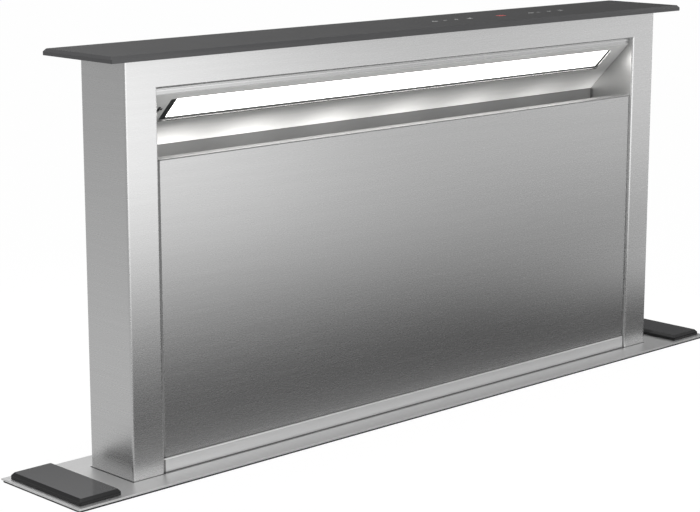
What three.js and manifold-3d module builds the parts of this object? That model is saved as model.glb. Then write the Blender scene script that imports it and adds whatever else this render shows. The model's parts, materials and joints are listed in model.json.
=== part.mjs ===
// Downdraft vent: a lift-up extraction tower in a worktop rim, with its casing, lift drive and blower below.
// Millimetres, +Z up, -Y towards the user.
// Origin: centre of the casing floor's underside, which stands on the cabinet's floor.

import * as THREE from 'three';
import { mergeVertices } from 'three/addons/utils/BufferGeometryUtils.js';
import Module from 'manifold-3d';

const wasm = await Module();
wasm.setup();

// ---------------------------------------------------------------- driving dimensions

// Sheet metal and clearances
const sheet = 1.5;
const bendRadius = 1.6;
const seat = 0.3;
const glueLine = 0.1;

// Tower: heights are counted from the top of the rim, with the tower raised
const towerWidth = 740;
const towerDepth = 64;
const towerRise = 381;
const towerTail = 110;
const liftTravel = 380;
const stileWidth = 36;
const topRailHeight = 28;
const slotHeight = 63;
const baseRailHeight = 13.4;
const baseRailTail = 46;
const baseRailRecess = 2;
const panelRecess = 3;
const panelGap = 0.8;
const panelReturn = 11;
const trayEdgeRadius = 1.4;
const backReturn = 14;
const magnetWidth = 16;
const magnetDepth = 8;
const magnetHeight = 30;
const magnetDrop = 26;

// Canopy over the throat: a slanted plate behind the slot, with the lamp let into it
const canopySetback = 6.1;
const canopyTuck = 12;
const canopyStrip = 6.5;
const canopyRun = 52.5;
const canopyDrop = 53.6;
const canopyLeg = 58;
const lampEndMargin = 25;
const lampFrom = 8;
const lampTo = 37;
const lampRecess = 2;
const lampTrayDepth = 16;
const lampTrayWall = 1.2;
const diffuserThickness = 3;
const diffuserShortfall = 3;
const ledCount = 18;
const ledSize = 3.2;
const ledHeight = 1;
const ledBoardWidth = 15;
const ledBoardThickness = 1.6;

// Glass lid and its carrier
const glassThickness = 6;
const glassBevel = 2.2;
const glassBevelDrop = 2.6;
const glassCornerRadius = 1.5;
const lidSideOverhang = 25.5;
const lidFrontOverhang = 16.3;
const lidBackOverhang = 21;
const carrierSkirt = 9;
const touchHousingLength = 236;
const touchHousingDepth = 38;
const touchHousingHeight = 13;
const touchHousingOffset = 148;
const touchKeys = 9;
const touchSpringRadius = 3;

// Rim plate in the worktop and the glass pads on its ends
const rimEndOverhang = 80;
const rimFrontOverhang = 27;
const rimBackOverhang = 28.5;
const rimThickness = 1.6;
const rimTowerGap = 1;
const padGap = 4;
const padEndInset = 5.5;
const padFrontInset = 6;
const padBackInset = 7;
const sealWidth = 4;
const sealInset = 1.5;
const sealHeight = 2;
const wiperReach = 9;
const wiperHeight = 5;
const wiperGap = 0.5;

// Casing below the worktop
const casingSideRoom = 40;
const casingDepth = 90;
const casingHeight = 720;
const casingFlange = 7;
const swageDepth = 3;
const swageWidth = 16;
const swageCount = 4;
const swageMargin = 120;
const serviceWidth = 150;
const serviceHeight = 130;
const serviceLow = 26;
const serviceOverlap = 10;
const serviceStand = 6;

// Grease filters and trough
const filterHeight = 232;
const filterThickness = 9;
const filterBorder = 11;
const filterPull = 6;
const filterGap = 2;
const filterTiltDegrees = 7.5;
const filterLow = 22;
const filterFront = 2;
const meshPitch = 9;
const meshFold = 4.4;
const meshSheet = 0.8;
const meshLet = 4;
const troughDepth = 17;
const troughHeight = 15;
const troughFloor = 3;

// Lift drive: two toothed belts, a cross shaft and a worm gear motor
const beltWidth = 10;
const beltThickness = 2;
const pulleyTeeth = 16;
const pulleyPitch = 5;
const pulleyToothDepth = 1.6;
const pulleyTipDrop = 0.6;
const pulleyTipShare = 0.44;
const pulleyRootShare = 0.76;
const pulleyFlangeRadius = 15.5;
const pulleyFlange = 1.5;
const shaftRadius = 5;
const runningGap = 0.3;
const shaftHeight = 55;
const driveSetback = 20;
const beltInset = 20;
const idlerDrop = 34;
const idlerAxleRadius = 4;
const railWidth = 36;
const railDepth = 24;
const railWall = 2;
const railSetback = 20;
const shoeGap = 0.5;
const shoeLead = 4;
const shoeRelief = 24;
const railOverrun = 8;
const idlerPlate = 3;
const carriageHeight = 84;
const carriagePlate = 4;
const carriageDrop = 22;
const clampHeight = 30;
const clampJaw = 3.4;
const clampDrop = 66;
const bearingRadius = 19;
const bearingThickness = 7;
const bearingBossRadius = 11.4;
const gearboxWidth = 50;
const gearboxHeight = 54;
const gearboxX = 275;
const gearboxCornerRadius = 6;
const liftMotorRadius = 19;
const liftMotorCapRadius = 10.5;
const liftMotorHeight = 84;
const liftMotorOffset = 26;

// Blower: scroll housing, impeller, motor, adapter and duct collar
const fanX = 20;
const fanHeight = 212;
const scrollStartRadius = 112;
const scrollEndRadius = 165;
const scrollDepth = 108;
const scrollWall = 2;
const scrollFlange = 9;
const scrollOutletHeight = 93;
const scrollOutletX = 178;
const scrollSteps = 40;
const inletRadius = 88;
const bellRadius = 79;
const bellDepth = 11;
const wheelRadius = 100;
const wheelInnerRadius = 83;
const wheelWidth = 78;
const wheelInset = 12;
const wheelPlate = 2;
const bladeCount = 32;
const bladeThickness = 1.1;
const bladeSweep = 9;
const bladeSteps = 3;
const hubRadius = 15;
const hubLength = 24;
const motorShaftRadius = 4;
const motorRadius = 46;
const motorLength = 44;
const motorHoleRadius = 20;
const motorFins = 3;
const frontPlate = 2.5;
const ribHeight = 4;
const ribWidth = 3;
const ribCount = 8;
const adapterLength = 72;
const adapterSteps = 32;
const adapterLevels = 4;
const collarRadius = 75;
const collarWall = 2;
const collarLength = 62;
const collarForward = 28;
const collarBead = 2;
const flapThickness = 1.5;
const flapGap = 1.2;
const flapPinRadius = 1.5;
const flapKnuckleRadius = 3.2;
const flapHingeGap = 5;
const flapKnuckles = 5;
const flapHingeSpan = 115;
const flapSteps = 16;
const flapPlace = 14;

// Brackets, control box and gland
const bracketWidth = 50;
const bracketReach = 150;
const bracketHeight = 90;
const bracketSheet = 3;
const bracketInset = 5;
const bracketLip = 9;
const bracketSlot = 9;
const bracketSlotRound = 4;
const bracketSlotNear = 50;
const bracketSlotFar = 112;
const boxWidth = 190;
const boxHeight = 140;
const boxDepth = 50;
const boxX = 225;
const boxLow = 420;
const boxWall = 1.2;
const boxCoverDepth = 8;
const boardMargin = 6;
const transformerWidth = 36;
const transformerHeight = 30;
const relayWidth = 15;
const relayHeight = 15;
const relayPitch = 28;
const componentWidth = 18;
const leadRadius = 9;
const glandNutRadius = 10.4;
const glandDomeRadius = 8.6;
const glandThreadRadius = 6.3;
const glandBoreRadius = 3.6;
const glandHoleRadius = 7.2;
const glandLength = 22;
const glandShift = 47.5;

// ---------------------------------------------------------------- derived places

const rimWidth = towerWidth + 2 * rimEndOverhang;
const casingWidth = towerWidth + 2 * casingSideRoom;
const padWidth = rimEndOverhang - padEndInset - lidSideOverhang - padGap;
const rimTop = casingHeight + rimThickness;
const front = -towerDepth / 2;
const back = towerDepth / 2;
const half = sheet / 2;
const openingHalf = towerWidth / 2 - stileWidth;
const slotTop = towerRise - topRailHeight;
const panelTop = slotTop - slotHeight;
const lidUnder = towerRise;
const casingInnerX = casingWidth / 2 - sheet;
const casingInnerY = casingDepth / 2 - sheet;
const casingFront = -casingDepth / 2;
const beltX = casingWidth / 2 - beltInset;
const idlerHeight = rimTop - idlerDrop;
const driveY = -driveSetback;
const railY = railSetback;
const throatBack = front + canopySetback + canopyRun;
const lampHalf = openingHalf - lampEndMargin;
const pitchRadius = pulleyTeeth * pulleyPitch / (2 * Math.PI);
const pulleyTip = pitchRadius - pulleyTipDrop;
const beltInner = pulleyTip + runningGap;
const beltOuter = beltInner + beltThickness;
const backPanelY = back - sheet - seat;

// ---------------------------------------------------------------- solids: joins, cuts and shapes

/** A closed solid from a three.js geometry, its shared corners merged. */
function solidOf(geometry) {
  const bare = geometry.clone();
  bare.deleteAttribute('normal');
  bare.deleteAttribute('uv');
  const merged = mergeVertices(bare, 1e-4);
  return new wasm.Manifold(new wasm.Mesh({
    numProp: 3,
    vertProperties: Float32Array.from(merged.attributes.position.array),
    triVerts: Uint32Array.from(merged.index.array),
  }));
}

/** The three.js geometry of a solid. */
function geometryOf(solid) {
  const mesh = solid.getMesh();
  const geometry = new THREE.BufferGeometry();
  geometry.setAttribute('position', new THREE.BufferAttribute(Float32Array.from(mesh.vertProperties), 3));
  geometry.setIndex(new THREE.BufferAttribute(Uint32Array.from(mesh.triVerts), 1));
  geometry.computeVertexNormals();
  return geometry;
}

/** Joins all of the given geometries into one solid. */
function join(...geometries) {
  return geometries.map(solidOf).reduce((whole, piece) => whole.add(piece));
}

/** Cuts all of the given geometries out of a solid. */
function cut(solid, ...geometries) {
  return geometries.map(solidOf).reduce((rest, piece) => rest.subtract(piece), solid);
}

function box(x0, x1, y0, y1, z0, z1) {
  const geometry = new THREE.BoxGeometry(x1 - x0, y1 - y0, z1 - z0);
  return geometry.translate((x0 + x1) / 2, (y0 + y1) / 2, (z0 + z1) / 2);
}

/** Extrudes a shape drawn in X and Y from z0 up to z1. */
function extrudeZ(shape, z0, z1) {
  const depth = z1 - z0;
  const geometry = new THREE.ExtrudeGeometry(shape, { depth, bevelEnabled: false, curveSegments: 4 });
  return geometry.translate(0, 0, z0);
}

/** Extrudes a shape drawn in Y and Z from x0 to x1. */
function extrudeX(shape, x0, x1) {
  const geometry = extrudeZ(shape, x0, x1);
  return geometry.applyMatrix4(new THREE.Matrix4().set(0, 0, 1, 0, 1, 0, 0, 0, 0, 1, 0, 0, 0, 0, 0, 1));
}

/** Extrudes a shape drawn in X and Z from y0 to y1. */
function extrudeY(shape, y0, y1) {
  const geometry = extrudeZ(shape, -y1, -y0);
  return geometry.applyMatrix4(new THREE.Matrix4().set(1, 0, 0, 0, 0, 0, -1, 0, 0, 1, 0, 0, 0, 0, 0, 1));
}

/** A round bar along X, Y or Z, from one end to the other. */
function rod(axis, radius, from, to, [a, b], sides = 16) {
  const geometry = new THREE.CylinderGeometry(radius, radius, to - from, sides);
  geometry.translate(0, (from + to) / 2, 0);
  if (axis === 'x') return geometry.rotateZ(-Math.PI / 2).translate(0, a, b);
  if (axis === 'z') return geometry.rotateX(Math.PI / 2).translate(a, b, 0);
  return geometry.translate(a, 0, b);
}

/** A profile of (radius, along) points turned about the Y axis, with its faces pointing out. */
function turned(points, sides = 40) {
  const profile = points.map(([radius, along]) => new THREE.Vector2(radius, along));
  if (THREE.ShapeUtils.area(profile) < 0) profile.reverse();
  return new THREE.LatheGeometry(profile, sides);
}

function shapeOf(points) {
  return new THREE.Shape(points.map(([x, y]) => new THREE.Vector2(x, y)));
}

function rectangle(x0, x1, y0, y1) {
  return shapeOf([[x0, y0], [x1, y0], [x1, y1], [x0, y1]]);
}

/** A rectangle with rounded corners. */
function roundedRectangle(x0, x1, y0, y1, radius) {
  const shape = new THREE.Shape();
  shape.moveTo(x0 + radius, y0);
  shape.lineTo(x1 - radius, y0);
  shape.absarc(x1 - radius, y0 + radius, radius, -Math.PI / 2, 0, false);
  shape.lineTo(x1, y1 - radius);
  shape.absarc(x1 - radius, y1 - radius, radius, 0, Math.PI / 2, false);
  shape.lineTo(x0 + radius, y1);
  shape.absarc(x0 + radius, y1 - radius, radius, Math.PI / 2, Math.PI, false);
  shape.lineTo(x0, y0 + radius);
  shape.absarc(x0 + radius, y0 + radius, radius, Math.PI, Math.PI * 1.5, false);
  return shape;
}

/** A rectangular ring: an outline with a rectangular hole. */
function ring(outer, inner) {
  const shape = rectangle(...outer);
  shape.holes.push(rectangle(...inner));
  return shape;
}

/** Moves a polyline sideways by a distance, to the left of its direction, with mitred corners. */
function offsetLine(points, distance) {
  const line = points.map(([x, y]) => new THREE.Vector2(x, y));
  const normalAfter = (i) => {
    const along = line[i + 1].clone().sub(line[i]).normalize();
    return new THREE.Vector2(-along.y, along.x);
  };
  return line.map((point, i) => {
    const before = normalAfter(Math.max(i - 1, 0));
    const after = normalAfter(Math.min(i, line.length - 2));
    const mitre = before.clone().add(after);
    const scale = 2 * distance / mitre.lengthSq();
    return point.clone().addScaledVector(mitre, scale);
  });
}

/**
 * Section of a folded sheet. The points follow its visible face, and the sheet lies to the left of them
 * where side is 1, or to the right where it is -1. Every fold has the sheet's bend radius.
 */
function folded(points, side, thickness = sheet, steps = 3) {
  const line = offsetLine(points, side * thickness / 2);
  const left = [];
  const right = [];
  const station = (point, normal) => {
    left.push(point.clone().addScaledVector(normal, thickness / 2));
    right.push(point.clone().addScaledVector(normal, -thickness / 2));
  };
  const leftOf = (along) => new THREE.Vector2(-along.y, along.x);
  line.forEach((corner, i) => {
    const before = i > 0 ? corner.clone().sub(line[i - 1]).normalize() : null;
    const after = i < line.length - 1 ? line[i + 1].clone().sub(corner).normalize() : null;
    if (!before || !after) {
      station(corner, leftOf(before ?? after));
      return;
    }
    const turn = Math.atan2(before.cross(after), before.dot(after));
    const hand = Math.sign(turn);
    const start = corner.clone().addScaledVector(before, -bendRadius * Math.tan(Math.abs(turn) / 2));
    const centre = start.clone().addScaledVector(leftOf(before), hand * bendRadius);
    for (let step = 0; step <= steps; step += 1) {
      const along = before.clone().rotateAround(new THREE.Vector2(), turn * step / steps);
      const normal = leftOf(along);
      station(centre.clone().addScaledVector(normal, -hand * bendRadius), normal);
    }
  });
  return new THREE.Shape([...left, ...right.reverse()]);
}

/** Skins a stack of rings that have the same number of points, and closes both ends with flat caps. */
function loft(rings) {
  const count = rings[0].length;
  const positions = rings.flat().flatMap((point) => [point.x, point.y, point.z]);
  const index = [];
  for (let level = 0; level < rings.length - 1; level += 1) {
    for (let i = 0; i < count; i += 1) {
      const a = level * count + i;
      const b = level * count + (i + 1) % count;
      index.push(a, b, b + count, a, b + count, a + count);
    }
  }
  const top = (rings.length - 1) * count;
  for (let i = 1; i < count - 1; i += 1) {
    index.push(0, i + 1, i);
    index.push(top, top + i, top + i + 1);
  }
  const geometry = new THREE.BufferGeometry();
  geometry.setAttribute('position', new THREE.Float32BufferAttribute(positions, 3));
  geometry.setIndex(index);
  return geometry;
}

/** A plate of glass whose top edges are bevelled all round. */
function bevelledPlate(x0, x1, y0, y1, z0, z1) {
  const level = (inset, z) => {
    const outline = roundedRectangle(x0 + inset, x1 - inset, y0 + inset, y1 - inset, glassCornerRadius);
    const corners = outline.getPoints(3).slice(0, -1);
    return corners.map((point) => new THREE.Vector3(point.x, point.y, z));
  };
  return loft([level(0, z0), level(0, z1 - glassBevelDrop), level(glassBevel, z1)]);
}

/** A shallow tray pressed from sheet: its face looks to -Y with rounded edges, and its back is open. */
function pressedTray(x0, x1, z0, z1, face, depth) {
  const r = trayEdgeRadius;
  const rounding = { bevelThickness: r, bevelSize: r, bevelOffset: -r, bevelSegments: 3 };
  const blank = new THREE.ExtrudeGeometry(rectangle(x0, x1, z0, z1), { depth, ...rounding });
  blank.applyMatrix4(new THREE.Matrix4().set(1, 0, 0, 0, 0, 0, -1, 0, 0, 1, 0, 0, 0, 0, 0, 1));
  blank.translate(0, face + depth + r, 0);
  const past = face + depth + 3 * r;
  const trimmings = box(x0 - r, x1 + r, face + depth, past, z0 - r, z1 + r);
  const hollow = box(x0 + sheet, x1 - sheet, face + sheet, past, z0 + sheet, z1 - sheet);
  return cut(solidOf(blank), trimmings, hollow);
}

// ---------------------------------------------------------------- finishes

const finish = (color, metalness, roughness) => (
  new THREE.MeshStandardMaterial({ color, metalness, roughness })
);
const brushedSteel = finish(0xb9bab9, 1, 0.34);
const galvanised = finish(0xa3a8aa, 0.9, 0.5);
const blackGlass = finish(0x1c1c1d, 0, 0.12);
const opal = finish(0xffffff, 0, 0.5);
const circuitGreen = finish(0x22603c, 0, 0.6);
const rubber = finish(0x202020, 0, 0.85);
const blackPlastic = finish(0x2a2b2c, 0, 0.55);
const greyPlastic = finish(0x55585a, 0, 0.55);
const acetal = finish(0xe4e2da, 0, 0.4);
const castAluminium = finish(0x9a9c9e, 0.9, 0.5);
const meshAluminium = finish(0xb4b6b6, 0.95, 0.4);
const shaftSteel = finish(0x9c9fa1, 1, 0.25);
const brass = finish(0xb08d4a, 1, 0.35);

// ---------------------------------------------------------------- scene graph

const vent = new THREE.Group();
const tower = new THREE.Group();
tower.position.set(0, 0, rimTop);
vent.add(tower);

/** Adds one named piece to a group and returns its mesh. */
function piece(group, name, shape, material) {
  const geometry = shape instanceof THREE.BufferGeometry ? shape : geometryOf(shape);
  const mesh = new THREE.Mesh(geometry, material);
  mesh.name = name;
  group.add(mesh);
  return mesh;
}

const ends = [['left', -1], ['right', 1]];

/** A box given by its nearer and farther distance from the middle, on the left or the right side. */
function sideBox(hand, near, far, ...rest) {
  const [low, high] = hand > 0 ? [near, far] : [-far, -near];
  return box(low, high, ...rest);
}

/** A bar along X, given in the same way. */
function sideRod(hand, radius, near, far, centre, facets) {
  const [low, high] = hand > 0 ? [near, far] : [-far, -near];
  return rod('x', radius, low, high, centre, facets);
}

// ---------------------------------------------------------------- tower: skin, panels and canopy

const skinTop = lidUnder - glueLine;
const carrierLow = skinTop - carrierSkirt;
const throatHalf = openingHalf - seat;
const stripTop = slotTop + canopyTuck;
const plateTop = slotTop - canopyStrip;
const plateFoot = plateTop - canopyDrop;
const plateAngle = Math.atan2(canopyDrop, canopyRun);

function towerSkin() {
  const cheekRear = backPanelY - sheet - seat;
  const wraps = ends.map(([, hand]) => extrudeZ(folded([
    [hand * openingHalf, cheekRear],
    [hand * openingHalf, front],
    [hand * towerWidth / 2, front],
    [hand * towerWidth / 2, back],
    [hand * (towerWidth / 2 - backReturn), back],
  ], hand), -towerTail, skinTop));
  const lip = front + canopySetback - seat - half;
  const railSection = folded([[front, skinTop], [front, slotTop], [lip, slotTop]], 1);
  const railHalf = openingHalf + 2 * bendRadius;
  const rail = extrudeX(railSection, -railHalf, railHalf);
  const inside = towerWidth / 2 - sheet;
  const carrierBay = box(-inside, inside, front + sheet, back - sheet, carrierLow - seat, skinTop + seat);
  return cut(join(...wraps, rail), carrierBay);
}

function backPanel() {
  const reach = towerWidth / 2 - sheet - seat;
  const flange = backPanelY - backReturn;
  const section = folded([[-reach, flange], [-reach, backPanelY], [reach, backPanelY], [reach, flange]], -1);
  const carrierBay = box(-reach, reach, flange - seat, backPanelY - sheet, carrierLow - seat, skinTop + seat);
  return cut(join(extrudeZ(section, -towerTail, skinTop)), carrierBay);
}

function canopy() {
  const face = front + canopySetback;
  const section = folded([
    [face, stripTop], [face, plateTop], [throatBack, plateFoot], [throatBack, plateFoot - canopyLeg],
  ], 1);
  const aperture = box(-lampHalf, lampHalf, lampFrom, lampTo, -sheet, 2 * sheet);
  aperture.rotateX(-plateAngle).translate(0, face, plateTop);
  return cut(join(extrudeX(section, -throatHalf, throatHalf)), aperture);
}

piece(tower, 'tower_skin', towerSkin(), brushedSteel);
piece(tower, 'tower_back_panel', backPanel(), brushedSteel);
piece(tower, 'lamp_canopy', canopy(), brushedSteel);

const panelHalf = openingHalf - panelGap;
const railFace = front + baseRailRecess;
const panelFace = front + panelRecess;
const panelLow = baseRailHeight + seat;
const baseRail = pressedTray(-panelHalf, panelHalf, -baseRailTail, baseRailHeight, railFace, panelReturn);
piece(tower, 'base_rail', baseRail, brushedSteel);
const panel = pressedTray(-panelHalf, panelHalf, panelLow, panelTop, panelFace, panelReturn);
piece(tower, 'front_panel', panel, brushedSteel);

for (const [side, hand] of ends) {
  const rear = panelFace + panelReturn + seat;
  const high = panelTop - magnetDrop;
  const magnet = sideBox(
    hand, throatHalf - magnetWidth, throatHalf, rear, rear + magnetDepth, high - magnetHeight, high,
  );
  piece(tower, `panel_magnet_${side}`, magnet, greyPlastic);
}

// ---------------------------------------------------------------- tower: lamp behind the slanted plate

const lamp = new THREE.Group();
lamp.position.set(0, front + canopySetback, plateTop);
lamp.rotation.x = -plateAngle;
tower.add(lamp);

function lampTray() {
  const low = sheet + seat;
  const deep = low + lampTrayDepth;
  const wall = lampTrayWall;
  const reach = lampHalf + seat;
  const near = lampFrom - seat;
  const far = lampTo + seat;
  const shell = box(-reach - wall, reach + wall, near - wall, far + wall, low, deep);
  return cut(join(shell), box(-reach, reach, near, far, low - seat, deep - wall));
}

function ledBoard() {
  const rear = sheet + lampTrayDepth - lampTrayWall;
  const face = rear - ledBoardThickness;
  const middle = (lampFrom + lampTo) / 2;
  const reach = lampHalf - 2 * diffuserShortfall;
  const board = box(-reach, reach, middle - ledBoardWidth / 2, middle + ledBoardWidth / 2, face, rear);
  const pitch = 2 * reach / ledCount;
  const r = ledSize / 2;
  const leds = Array.from({ length: ledCount }, (_, i) => {
    const x = -reach + (i + 0.5) * pitch;
    return box(x - r, x + r, middle - r, middle + r, face - ledHeight, face + seat);
  });
  return join(board, ...leds);
}

piece(lamp, 'lamp_tray', lampTray(), blackPlastic);
piece(lamp, 'led_board', ledBoard(), circuitGreen);
const diffuserBack = lampRecess + diffuserThickness;
piece(lamp, 'lamp_diffuser', box(
  -lampHalf + diffuserShortfall, lampHalf - seat, lampFrom, lampTo, lampRecess, diffuserBack,
), opal);

// ---------------------------------------------------------------- tower: lid, carrier and touch control

const lidReach = towerWidth / 2 + lidSideOverhang;
piece(tower, 'glass_lid', bevelledPlate(
  -lidReach, lidReach, front - lidFrontOverhang, back + lidBackOverhang, lidUnder, lidUnder + glassThickness,
), blackGlass);

function lidCarrier() {
  const near = front + sheet + seat;
  const far = backPanelY - sheet - seat;
  const reach = towerWidth / 2 - sheet - seat;
  const section = folded([[near, carrierLow], [near, skinTop], [far, skinTop], [far, carrierLow]], -1);
  return extrudeX(section, -reach, reach);
}

piece(tower, 'lid_carrier', lidCarrier(), galvanised);

const touchTop = skinTop - sheet - seat;
const touchLow = touchTop - touchHousingHeight;
const touchLeft = touchHousingOffset - touchHousingLength / 2;
const touchRight = touchLeft + touchHousingLength;
const touchFar = touchHousingDepth / 2;

function touchHousing() {
  const outline = roundedRectangle(touchLeft, touchRight, -touchFar, touchFar, 2 * sheet);
  const far = touchFar - sheet;
  const hollow = box(touchLeft + sheet, touchRight - sheet, -far, far, touchLow + sheet, touchTop + seat);
  return cut(join(extrudeZ(outline, touchLow, touchTop)), hollow);
}

function touchBoard() {
  const wall = sheet + seat;
  const low = touchLow + sheet + seat;
  const top = low + ledBoardThickness;
  const board = box(touchLeft + wall, touchRight - wall, -touchFar + wall, touchFar - wall, low, top);
  const pitch = touchHousingLength / (touchKeys + 1);
  const springs = Array.from({ length: touchKeys }, (_, i) => {
    const x = touchLeft + (i + 1) * pitch;
    return rod('z', touchSpringRadius, low + half, touchTop - seat, [x, 0], 6);
  });
  return join(board, ...springs);
}

piece(tower, 'touch_housing', touchHousing(), blackPlastic);
piece(tower, 'touch_board', touchBoard(), circuitGreen);

// ---------------------------------------------------------------- tower: grease filters and trough

const filterTilt = THREE.MathUtils.degToRad(filterTiltDegrees);
const filterWidth = throatHalf - filterGap - filterGap / 2;

function filterFrame() {
  const w = filterWidth / 2;
  const y = filterThickness / 2;
  const border = filterBorder;
  const high = filterHeight - border;
  const frame = extrudeY(ring([-w, w, 0, filterHeight], [-w + border, w - border, border, high]), -y, y);
  const groove = border - meshLet - seat;
  const grooveHalf = meshFold / 2 + meshSheet;
  const slot = box(-w + groove, w - groove, -grooveHalf, grooveHalf, groove, filterHeight - groove);
  const tab = box(-border * 2, border * 2, -y - filterPull, -y + seat, high, high + sheet);
  return cut(join(frame, tab), slot);
}

/** Pleated mesh sheet, folded to and fro across its width. */
function filterMesh() {
  const reach = filterWidth / 2 - filterBorder + meshLet;
  const pleats = Math.round(2 * reach / meshPitch);
  const ridge = (shift) => Array.from({ length: pleats + 1 }, (_, i) => {
    const y = (i % 2 ? meshFold : -meshFold) / 2;
    return [-reach + 2 * reach * i / pleats, y + shift];
  });
  const outline = [...ridge(meshSheet / 2), ...ridge(-meshSheet / 2).reverse()];
  const low = filterBorder - meshLet;
  return extrudeZ(shapeOf(outline), low, filterHeight - low);
}

for (const [side, hand] of ends) {
  const filter = new THREE.Group();
  const filterY = panelFace + panelReturn + filterFront + filterThickness / 2;
  filter.position.set(hand * (filterWidth + filterGap) / 2, filterY, filterLow);
  filter.rotation.x = -filterTilt;
  tower.add(filter);
  piece(filter, `filter_frame_${side}`, filterFrame(), meshAluminium);
  piece(filter, `filter_mesh_${side}`, filterMesh(), meshAluminium);
}

/** Open trough behind the base rail: the filters stand in it, and it keeps what drips from them. */
function greaseTrough() {
  const near = panelFace + panelReturn + seat;
  const far = near + troughDepth;
  const low = filterLow - troughFloor;
  const high = low + troughHeight;
  return extrudeX(folded([[near, high], [near, low], [far, low], [far, high]], 1), -throatHalf, throatHalf);
}

piece(tower, 'grease_trough', greaseTrough(), galvanised);

// ---------------------------------------------------------------- tower: carriages on the guide rails

const flank = towerWidth / 2 + seat;
const webInner = casingInnerX - seat - railWall;
const railHalf = railWidth / 2;
const runY = driveY + (beltInner + beltOuter) / 2;

/** Slide block: a plate on the tower's flank with a shoe that runs in the guide rail. */
function carriage(hand) {
  const low = -carriageDrop - carriageHeight;
  const near = flank;
  const far = webInner - shoeGap;
  const clampSide = runY - clampHeight / 2;
  const plate = sideBox(hand, near, near + carriagePlate, clampSide, railY + railHalf, low, -carriageDrop);
  const lead = shoeLead;
  const shoe = shapeOf([
    [hand * near, low], [hand * (far - lead), low], [hand * far, low + lead],
    [hand * far, -carriageDrop - lead], [hand * (far - lead), -carriageDrop], [hand * near, -carriageDrop],
  ]);
  const shoeHalf = railHalf - railWall - shoeGap;
  const body = join(plate, extrudeY(shoe, railY - shoeHalf, railY + shoeHalf));
  const waistLow = (low - carriageDrop - shoeRelief) / 2;
  return cut(body, sideBox(
    hand, far - lead, far + lead, railY - railHalf, railY + railHalf, waistLow, waistLow + shoeRelief,
  ));
}

/** Jaws that grip the rear run of a toothed belt and tie it to the carriage. */
function beltClamp(hand) {
  const near = flank + carriagePlate + seat;
  const gripHalf = beltThickness / 2 + runningGap;
  const jaw = gripHalf + clampJaw;
  const high = -clampDrop;
  const far = beltX + beltWidth / 2 + seat;
  const block = sideBox(hand, near, far, runY - jaw, runY + jaw, high - clampHeight, high);
  const slit = sideBox(
    hand, beltX - beltWidth / 2 - runningGap, beltX + beltWidth, runY - gripHalf, runY + gripHalf,
    high - 2 * clampHeight, high + clampHeight,
  );
  return cut(join(block), slit);
}

for (const [side, hand] of ends) {
  piece(tower, `carriage_${side}`, carriage(hand), acetal);
  piece(tower, `belt_clamp_${side}`, beltClamp(hand), castAluminium);
}

// ---------------------------------------------------------------- rim plate, pads and seals

const rimHalf = rimWidth / 2;
const rimFront = front - rimFrontOverhang;
const rimBack = back + rimBackOverhang;

function towerHole(gap) {
  return [-towerWidth / 2 - gap, towerWidth / 2 + gap, front - gap, back + gap];
}

piece(vent, 'rim_plate', extrudeZ(
  ring([-rimHalf, rimHalf, rimFront, rimBack], towerHole(rimTowerGap)), casingHeight, rimTop,
), brushedSteel);

for (const [side, hand] of ends) {
  const outer = hand * (rimHalf - padEndInset);
  const inner = outer - hand * padWidth;
  const pad = bevelledPlate(
    Math.min(outer, inner), Math.max(outer, inner), rimFront + padFrontInset, rimBack - padBackInset,
    rimTop + glueLine, rimTop + glueLine + glassThickness,
  );
  piece(vent, `end_pad_${side}`, pad, blackGlass);
}

const sealOutline = (inset) => [-rimHalf + inset, rimHalf - inset, rimFront + inset, rimBack - inset];
const underRim = casingHeight - glueLine;
piece(vent, 'worktop_seal', extrudeZ(
  ring(sealOutline(sealInset), sealOutline(sealInset + sealWidth)), underRim - sealHeight, underRim,
), rubber);
piece(vent, 'tower_wiper', extrudeZ(
  ring(towerHole(wiperReach), towerHole(wiperGap)), underRim - wiperHeight, underRim,
), rubber);

// ---------------------------------------------------------------- casing

const casingTop = underRim;
const serviceX = -gearboxX;

function swage(x, shift, trim) {
  const w = swageWidth / 2;
  const wall = casingDepth / 2 + shift;
  const profile = shapeOf([
    [x - w, wall - half], [x - w, wall], [x - w + swageDepth, wall + swageDepth],
    [x + w - swageDepth, wall + swageDepth], [x + w, wall], [x + w, wall - half],
  ]);
  return extrudeZ(profile, swageMargin + trim, casingTop - swageMargin - trim);
}

function casingShell() {
  const w = casingWidth / 2;
  const d = casingDepth / 2;
  const r = 2 * bendRadius;
  const edge = casingFlange;
  const middle = (swageCount - 1) / 2;
  const places = Array.from({ length: swageCount }, (_, i) => (i - middle) * casingWidth / swageCount);
  const outer = extrudeZ(roundedRectangle(-w, w, -d, d, r), 0, casingTop);
  const flange = box(-w - edge, w + edge, -d - edge, d + edge, casingTop - sheet, casingTop);
  const hollow = roundedRectangle(-w + sheet, w - sheet, -d + sheet, d - sheet, r - sheet);
  const inner = extrudeZ(hollow, sheet, casingTop + sheet);
  const through = -d - 2 * sheet;
  const past = -d + 2 * sheet;
  const inlet = rod('y', inletRadius, through, past, [-fanX, fanHeight], 48);
  const halfService = serviceWidth / 2 - serviceOverlap;
  const service = box(serviceX - halfService, serviceX + halfService, through, past,
    serviceLow + serviceOverlap, serviceLow + serviceHeight - serviceOverlap);
  const lead = rod('y', leadRadius, through, past, [boxX, boxLow + boxHeight / 2], 20);
  return cut(
    join(outer, flange, ...places.map((x) => swage(x, 0, 0))),
    inner, ...places.map((x) => swage(x, -sheet, sheet)), inlet, service, lead,
  );
}

piece(vent, 'casing_shell', casingShell(), galvanised);

function serviceCover() {
  const face = casingFront - seat - serviceStand;
  const reach = serviceWidth / 2;
  const high = serviceLow + serviceHeight;
  return pressedTray(serviceX - reach, serviceX + reach, serviceLow, high, face, serviceStand);
}

piece(vent, 'service_cover', serviceCover(), galvanised);

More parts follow.
